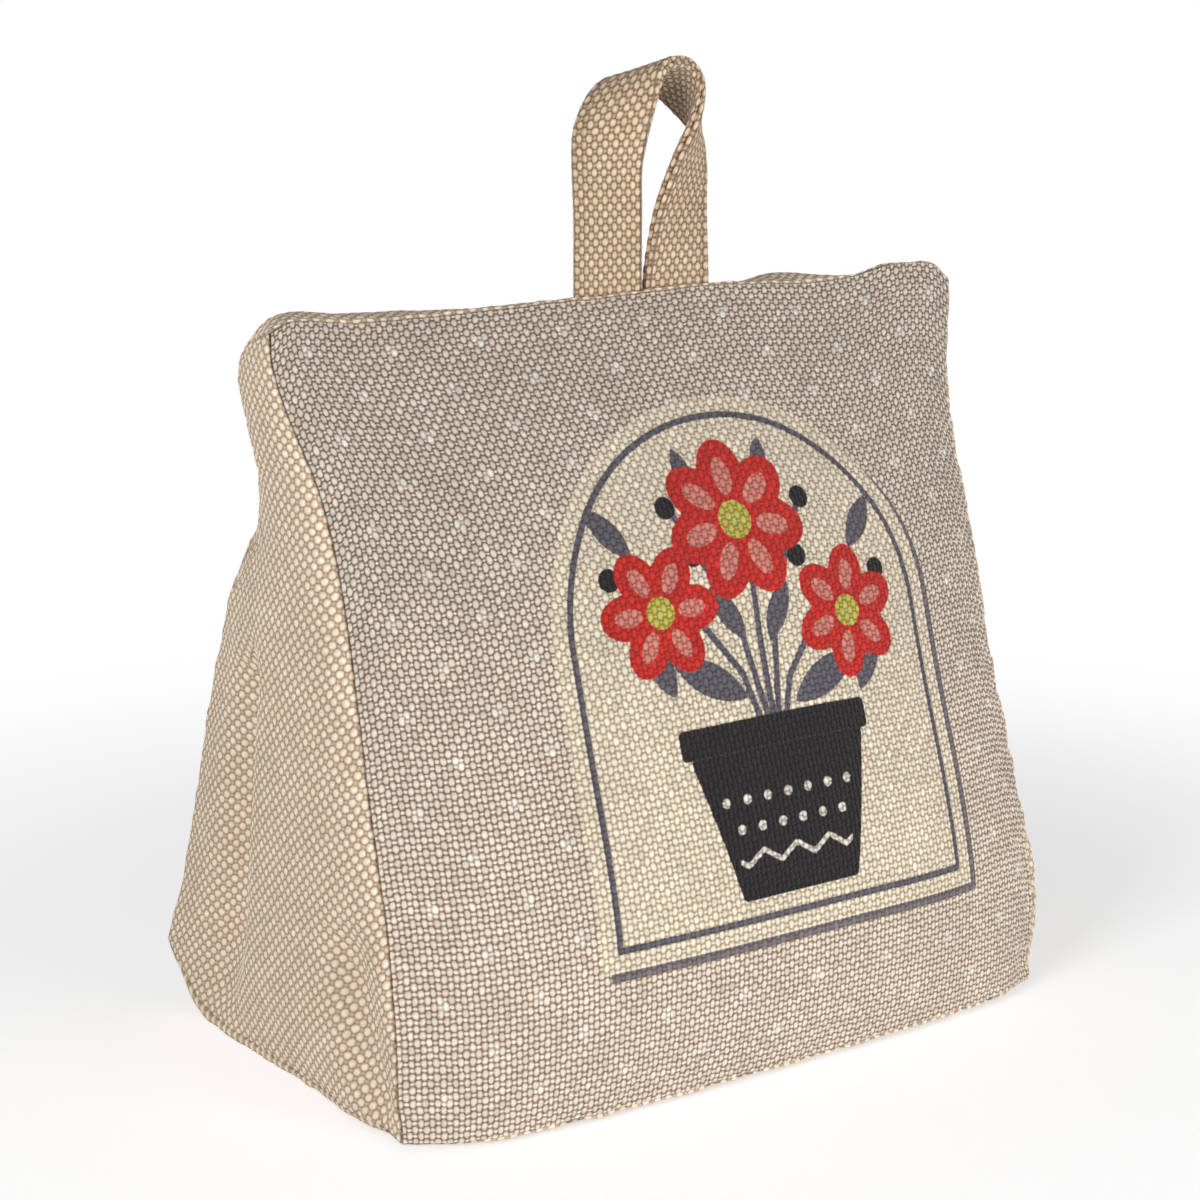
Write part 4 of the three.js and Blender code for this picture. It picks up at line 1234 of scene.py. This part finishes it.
def finished(piece, node):
    """Ties a piece to the frame, on the body it rides on, and hides the CAD part that it stands for."""
    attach(piece, BODY)
    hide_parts(node)
    return piece


def cream_material(scene):
    name = "cream_cloth"
    if name in bpy.data.materials:
        return bpy.data.materials[name]
    colours, sizes = scene.door_stop_colours, scene.door_stop_sizes
    pitches = (sizes.cream_warp_pitch / MM, sizes.cream_weft_pitch / MM)
    return woven_material(name, yarn_colours(colours, "cream"), pitches, CREAM_FLOATS, CREAM_TONES)


def cream_panel(scene, name):
    """Builds a four-sided cream panel, which stays above the floor."""
    bag = Bag(scene.door_stop_sizes)
    points, faces, fabric, near = woven_grid(
        bag, name, bag.cream_warp_pitch, bag.cream_weft_pitch, CREAM_FLOATS
    )
    points[:, 2] = np.maximum(points[:, 2], 0)
    piece = piece_object(
        f"{name}_panel_cloth", points, faces, fabric, {"seam": near}, cream_material(scene)
    )
    finished(piece, f"{name}_panel")


class DOORSTOP_OT_front_panel(bpy.types.Operator):
    """Builds the greige front panel with its dots and printed motif"""

    bl_idname = "doorstop.front_panel"
    bl_label = "Front Panel"

    def execute(self, context):
        sizes, colours = context.scene.door_stop_sizes, context.scene.door_stop_colours
        bag = Bag(sizes)
        material = woven_material(
            "greige_cloth", yarn_colours(colours, "greige"), (bag.front_warp_pitch, bag.front_weft_pitch),
            GREIGE_FLOATS, GREIGE_TONES, GREIGE_TOP_FLOATS, printed(sizes, colours),
        )
        points, faces, fabric, near = woven_grid(
            bag, "front", bag.front_warp_pitch, bag.front_weft_pitch, GREIGE_FLOATS
        )
        extra = {"print_" + k: d for k, d in print_fields(fabric[:, 0], fabric[:, 1]).items()}
        piece = piece_object("front_panel_cloth", points, faces, fabric, {"seam": near, **extra}, material)
        finished(piece, "front_panel")
        return {"FINISHED"}


class DOORSTOP_OT_back_panel(bpy.types.Operator):
    """Builds the cream back panel, which rolls over the top"""

    bl_idname = "doorstop.back_panel"
    bl_label = "Back Panel"

    def execute(self, context):
        cream_panel(context.scene, "back")
        return {"FINISHED"}


class DOORSTOP_OT_base_panel(bpy.types.Operator):
    """Builds the cream base panel that the bag stands on"""

    bl_idname = "doorstop.base_panel"
    bl_label = "Base Panel"

    def execute(self, context):
        cream_panel(context.scene, "base")
        return {"FINISHED"}


class DOORSTOP_OT_side_panels(bpy.types.Operator):
    """Builds the two three-cornered side panels"""

    bl_idname = "doorstop.side_panels"
    bl_label = "Side Panels"

    def execute(self, context):
        bag = Bag(context.scene.door_stop_sizes)
        for name in ("left", "right"):
            points, faces, fabric, near = woven_side(bag, name)
            piece = piece_object(
                f"{name}_side_cloth", points, faces, fabric, {"seam": near}, cream_material(context.scene)
            )
            finished(piece, f"{name}_side_panel")
        return {"FINISHED"}


def catmull(points, t):
    """A point of the smooth curve through points, with its stations at even shares."""
    last = len(points) - 1
    place = min(max(t, 0.0), 1.0) * last
    k = min(int(place), last - 1)
    w = place - k
    p1, p2 = points[k], points[k + 1]
    p0 = points[k - 1] if k > 0 else 2 * p1 - p2
    p3 = points[k + 2] if k + 2 <= last else 2 * p2 - p1
    d0, d1, d2 = (max(np.linalg.norm(b - a) ** 0.5, 1e-4) for a, b in ((p0, p1), (p1, p2), (p2, p3)))
    m1 = ((p1 - p0) / d0 - (p2 - p0) / (d0 + d1) + (p2 - p1) / d1) * d1
    m2 = ((p2 - p1) / d1 - (p3 - p1) / (d1 + d2) + (p3 - p2) / d2) * d1
    return p1 + m1 * w + (3 * (p2 - p1) - 2 * m1 - m2) * w**2 + (2 * (p1 - p2) + m1 + m2) * w**3


def loop_sections(bag, step):
    """Centres, directions along and across the strap, at even lengths from one tail to the other."""
    foot = (bag.strap_width + bag.strap_feet_apart) / 2
    behind = bag.ridge_y + bag.cloth + bag.seam_gap + bag.strap_thickness / 2
    at = np.array([bag.loop_centre, behind, bag.ridge_seam(np.array(0.5))[2]])
    route = [np.array([side * foot, 0, rise * bag.loop_rise]) + at for side, rise, _, _ in LOOP_STATIONS]
    shares = np.linspace(0, 1, len(LOOP_STATIONS))
    turns = [(s, station[2]) for s, station in zip(shares, LOOP_STATIONS)]
    leans = [(s, station[3]) for s, station in zip(shares, LOOP_STATIONS)]
    dense = np.linspace(0, 1, LOOP_POINTS)
    line_points = np.array([catmull(route, t) for t in dense])
    lengths = np.concatenate([[0], np.cumsum(np.linalg.norm(np.diff(line_points, axis=0), axis=1))])
    count = round(lengths[-1] / step)
    t = np.interp(np.linspace(0, lengths[-1], count + 1), lengths, dense)
    centres = np.array([catmull(route, s) for s in t])
    along = normalised(np.gradient(centres, axis=0))
    turn, lean = np.radians(wave(turns, t)), np.radians(wave(leans, t))
    across = normalised(np.stack([np.cos(turn), np.sin(turn), -np.tan(lean)], -1))
    tail_steps = max(round(bag.strap_tail / step), 1)
    drop = np.linspace(bag.strap_tail, 0, tail_steps, endpoint=False)[:, None] * np.array([[0, 0, -1.0]])
    centres = np.concatenate([centres[0] + drop, centres, centres[-1] + drop[::-1]])
    along, across = (np.pad(a, ((tail_steps, tail_steps), (0, 0)), mode="edge") for a in (along, across))
    return centres, along, across, (np.arange(len(centres)) - tail_steps) * step


def strap_outline(bag, step):
    """Section of the folded strap, and the distance of its points from the slit and the lines along it, where
    painted shade darkens it.

    Two layers with round edges: a slit between them at the open edge, and a pressed line by the fold."""
    round_edge = bag.strap_thickness / 2
    flat = bag.strap_width / 2 - round_edge
    steps = round(2 * flat / step)
    pressed_at = STRAP_PRESS_INSET - flat
    top = []
    for k in range(steps + 1):
        x = lerp(flat, -flat, k / steps)
        pressed = STRAP_PRESS_DEPTH * math.exp(-(((x - pressed_at) / STRAP_PRESS_WIDTH) ** 2))
        top.append((x, round_edge - pressed))
    bend = [
        (-flat - round_edge * math.sin(a), round_edge * math.cos(a)) for a in np.radians(STRAP_FOLD_ANGLES)
    ]
    layer = round_edge / 2
    fold = bend + [(-flat - round_edge, 0)] + [(x, -y) for x, y in bend[::-1]]
    lower = [(x, -y) for x, y in top[::-1]]
    open_edge = [
        (flat + layer * STRAP_EDGE_FULLNESS * math.sin(a), -round_edge + layer - layer * math.cos(a))
        for a in np.radians(STRAP_EDGE_ANGLES)
    ]
    upper = [(x, -y) for x, y in open_edge[::-1]]
    slit = (flat - STRAP_SLIT_DEPTH, 0.0)
    outline = np.array(top + fold + lower + open_edge + [slit] + upper)
    to_slit = np.linalg.norm(outline - slit, axis=1) - STRAP_SLIT_SHADE
    near = np.minimum(np.abs(outline[:, 0] - pressed_at), to_slit)
    mirrored = outline[::-1] * np.array([-1, 1])
    return mirrored, np.maximum(near, 0)[::-1]


class DOORSTOP_OT_lifting_loop(bpy.types.Operator):
    """Builds the folded strap whose two ends are sewn into the ridge seam"""

    bl_idname = "doorstop.lifting_loop"
    bl_label = "Lifting Loop"

    def execute(self, context):
        sizes, colours = context.scene.door_stop_sizes, context.scene.door_stop_colours
        bag = Bag(sizes)
        pitches = (bag.strap_warp_pitch, bag.strap_weft_pitch)
        material = woven_material(
            "strap_cloth", yarn_colours(colours, "strap"), pitches, STRAP_FLOATS, STRAP_TONES
        )
        centres, along, across, lengths = loop_sections(bag, bag.strap_weft_pitch / POINTS_PER_PITCH)
        outline, near = strap_outline(bag, bag.strap_warp_pitch / POINTS_PER_PITCH)
        out = normalised(np.cross(along, across))
        around = np.concatenate([[0], np.cumsum(np.linalg.norm(np.diff(outline, axis=0), axis=1))])
        tangent = np.roll(outline, -1, 0) - np.roll(outline, 1, 0)
        normal = normalised(np.stack([tangent[:, 1], -tangent[:, 0]], -1))
        rings, count = len(centres), len(outline)
        height = weave_height(
            around[None, :] / bag.strap_warp_pitch, lengths[:, None] / bag.strap_weft_pitch, STRAP_FLOATS
        ) - 0.5
        w = outline[None, :, 0] + normal[None, :, 0] * height * bag.relief
        d = outline[None, :, 1] + normal[None, :, 1] * height * bag.relief
        points = centres[:, None] + across[:, None] * w[..., None] + out[:, None] * d[..., None]
        index = np.arange(rings * count).reshape(rings, count)
        faces = []
        for k in range(count):
            n = (k + 1) % count
            faces += np.stack([index[:-1, k], index[1:, k], index[1:, n], index[:-1, n]], -1).tolist()
        faces += [index[0].tolist(), index[-1][::-1].tolist()]
        fabric = np.stack(np.broadcast_arrays(around[None, :], lengths[:, None]), -1).reshape(-1, 2)
        near = np.broadcast_to(near[None, :], (rings, count))
        piece = piece_object(
            "lifting_loop_strap", points.reshape(-1, 3), faces, fabric, {"seam": near.ravel()}, material
        )
        finished(piece, "lifting_loop")
        return {"FINISHED"}


def plain_cloth(name, colour, scale, depth):
    """Fine thin cloth or loose fibre, for what lies inside the cover."""
    material, tree, shader = new_material(name)
    place = tree.nodes.new("ShaderNodeTexCoord")
    at = Wire(tree, place.outputs["Object"])
    grain = noise_wire(tree, at, scale, 4.0, 0.6)
    dark = tuple(c * FILLING_SHADE for c in colour)
    plug(tree, mixed_colour(tree, grain, dark, colour), shader.inputs["Base Color"])
    plug(tree, grain.smooth(0.0, 1.0, *FILLING_ROUGHNESS), shader.inputs["Roughness"])
    bumped(tree, grain, shader, FILLING_BUMP, depth)
    return material


def vectors(items, key):
    """A mesh's vectors of one kind, as rows."""
    values = np.empty(len(items) * 3, np.float32)
    items.foreach_get(key, values)
    return values.reshape(-1, 3)


def lumpy_copy(node, name, material, dent, size):
    """A CAD solid's shape, remeshed finely and pressed in here and there, as loose filling is."""
    made = bpy.data.objects.new(name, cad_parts[node].data.copy())
    bpy.context.scene.collection.objects.link(made)
    remesh = made.modifiers.new("remesh", "REMESH")
    remesh.mode, remesh.voxel_size = "VOXEL", FILLING_VOXEL
    bpy.context.view_layer.update()
    shape = bpy.data.meshes.new_from_object(made.evaluated_get(bpy.context.evaluated_depsgraph_get()))
    made.modifiers.clear()
    made.data = shape
    co, normals = vectors(shape.vertices, "co"), vectors(shape.vertex_normals, "vector")
    lumps = np.array([0.5 + 0.5 * noise.noise(Vector(p) / size) for p in co], np.float32)
    co = co - normals * (dent * np.clip(lumps, 0, 1) + FILLING_GAP)[:, None]
    co = (pulled(co / MM) * MM).astype(np.float32)
    shape.vertices.foreach_set("co", co.ravel())
    shape.materials.clear()
    shape.materials.append(material)
    shape.shade_smooth()
    shape.update()
    return made


class DOORSTOP_OT_filling(bpy.types.Operator):
    """Builds the sack of sand and the fibre stuffing above it"""

    bl_idname = "doorstop.filling"
    bl_label = "Sand Bag and Stuffing"

    def execute(self, context):
        colours = context.scene.door_stop_colours
        sack_cloth = plain_cloth("sack_cloth", colour_of(colours, "sack"), *SACK_GRAIN)
        loose_fibre = plain_cloth("loose_fibre", colour_of(colours, "fibre"), *FIBRE_GRAIN)
        sack = lumpy_copy("sand_bag", "inner_sand_sack", sack_cloth, *SACK_DENTS)
        finished(sack, "sand_bag")
        fibre = lumpy_copy("fibre_stuffing", "fibre_fill", loose_fibre, *FIBRE_DENTS)
        finished(fibre, "fibre_stuffing")
        return {"FINISHED"}


def aim(made, place, target):
    """Puts a lamp or the camera at a place and points it at its target."""
    made.location = place
    made.rotation_euler = (Vector(target) - Vector(place)).to_track_quat("-Z", "Y").to_euler()


def lamp(name, place, target, size, watts, colour):
    """A soft square lamp that points at a place."""
    data = bpy.data.lights.new(name, "AREA")
    data.shape, data.size, data.energy, data.color = "SQUARE", size, watts, colour
    made = bpy.data.objects.new(name, data)
    aim(made, place, target)
    bpy.context.scene.collection.objects.link(made)
    return made


def seen_or_mirrored(tree):
    """1 where the camera sees a surface, directly, in a mirror or through glass."""
    path = tree.nodes.new("ShaderNodeLightPath")
    seen = [Wire(tree, path.outputs[k]) for k in ("Is Camera Ray", "Is Glossy Ray", "Is Transmission Ray")]
    return (seen[0] + seen[1] + seen[2]).math("MINIMUM", 1.0)


def floor_material():
    """White floor that keeps the shadow near the object and fades to plain white further out."""
    material = bpy.data.materials.new("pale_floor")
    material.use_nodes = True
    tree = material.node_tree
    tree.nodes.clear()
    leave = tree.nodes.new("ShaderNodeOutputMaterial")
    matte = tree.nodes.new("ShaderNodeBsdfDiffuse")
    matte.inputs["Color"].default_value = FLOOR_COLOUR
    white = tree.nodes.new("ShaderNodeEmission")
    white.inputs["Color"].default_value = (1, 1, 1, 1)
    white.inputs["Strength"].default_value = 1.0
    place = tree.nodes.new("ShaderNodeTexCoord")
    away = tree.nodes.new("ShaderNodeVectorMath")
    away.operation = "LENGTH"
    tree.links.new(place.outputs["Object"], away.inputs[0])
    far = Wire(tree, away.outputs["Value"]).smooth(*FLOOR_FADE)
    seen = seen_or_mirrored(tree)
    lift = tree.nodes.new("ShaderNodeEmission")
    plug(tree, seen * FLOOR_LIFT, lift.inputs["Strength"])
    lifted = tree.nodes.new("ShaderNodeAddShader")
    tree.links.new(matte.outputs[0], lifted.inputs[0])
    tree.links.new(lift.outputs[0], lifted.inputs[1])
    mix = tree.nodes.new("ShaderNodeMixShader")
    plug(tree, far * seen, mix.inputs[0])
    tree.links.new(lifted.outputs[0], mix.inputs[1])
    tree.links.new(white.outputs[0], mix.inputs[2])
    tree.links.new(mix.outputs[0], leave.inputs[0])
    return material


class DOORSTOP_OT_stage(bpy.types.Operator):
    """Builds the floor, the soft lamps, the pale surroundings and the camera"""

    bl_idname = "doorstop.stage"
    bl_label = "Stage"

    def execute(self, context):
        scene = context.scene
        scene.view_settings.view_transform = "Standard"
        mesh = bpy.data.meshes.new("floor")
        corners = [(x * FLOOR_REACH, y * FLOOR_REACH, 0) for x, y in ((-1, -1), (1, -1), (1, 1), (-1, 1))]
        mesh.from_pydata(corners, [], [(0, 1, 2, 3)])
        mesh.materials.append(floor_material())
        floor = bpy.data.objects.new("floor", mesh)
        scene.collection.objects.link(floor)
        world = bpy.data.worlds.new("surroundings")
        scene.world = world
        world.use_nodes = True
        tree = world.node_tree
        sky = tree.nodes["Background"]
        sky.inputs["Color"].default_value = (1, 1, 1, 1)
        direction = tree.nodes.new("ShaderNodeTexCoord")
        height = separated(tree, Wire(tree, direction.outputs["Generated"]))[2]
        level = height.smooth(0.0, 1.0, *SKY_LEVELS)
        seen = seen_or_mirrored(tree)
        plug(tree, level * (seen * -1.0 + 1.0) + seen, sky.inputs["Strength"])
        for name, values in LAMPS.items():
            lamp(name, *values)
        camera = bpy.data.objects.new("camera", bpy.data.cameras.new("camera"))
        camera.data.sensor_width, camera.data.lens = CAMERA_SENSOR, CAMERA_LENS
        camera.data.clip_start, camera.data.clip_end = CAMERA_CLIP
        aim(camera, CAMERA_PLACE, CAMERA_TARGET)
        scene.collection.objects.link(camera)
        scene.camera = camera
        return {"FINISHED"}


class DOORSTOP_PT_tools(bpy.types.Panel):
    """Lists the pieces of the door stop"""

    bl_idname = "DOORSTOP_PT_tools"
    bl_label = "Weighted Door Stop"
    bl_space_type = "VIEW_3D"
    bl_region_type = "UI"
    bl_category = "Door Stop"

    def draw(self, context):
        for operator in PIECES:
            self.layout.operator(operator.bl_idname)
        sizes = self.layout.box()
        for key in SIZES:
            sizes.prop(context.scene.door_stop_sizes, key)
        colours = self.layout.box()
        for key in COLOURS:
            colours.prop(context.scene.door_stop_colours, key)


PIECES = (
    DOORSTOP_OT_stage,
    DOORSTOP_OT_front_panel,
    DOORSTOP_OT_side_panels,
    DOORSTOP_OT_back_panel,
    DOORSTOP_OT_base_panel,
    DOORSTOP_OT_lifting_loop,
    DOORSTOP_OT_filling,
)
CLASSES = (DoorStopSizes, DoorStopColours, *PIECES, DOORSTOP_PT_tools)


def register():
    for cls in CLASSES:
        bpy.utils.register_class(cls)
    bpy.types.Scene.door_stop_sizes = PointerProperty(type=DoorStopSizes)
    bpy.types.Scene.door_stop_colours = PointerProperty(type=DoorStopColours)


def unregister():
    del bpy.types.Scene.door_stop_colours
    del bpy.types.Scene.door_stop_sizes
    for cls in reversed(CLASSES):
        bpy.utils.unregister_class(cls)


def main():
    register()
    bpy.ops.doorstop.stage()
    bpy.ops.doorstop.front_panel()
    bpy.ops.doorstop.side_panels()
    bpy.ops.doorstop.back_panel()
    bpy.ops.doorstop.base_panel()
    bpy.ops.doorstop.lifting_loop()
    bpy.ops.doorstop.filling()


if __name__ == "__main__":
    main()
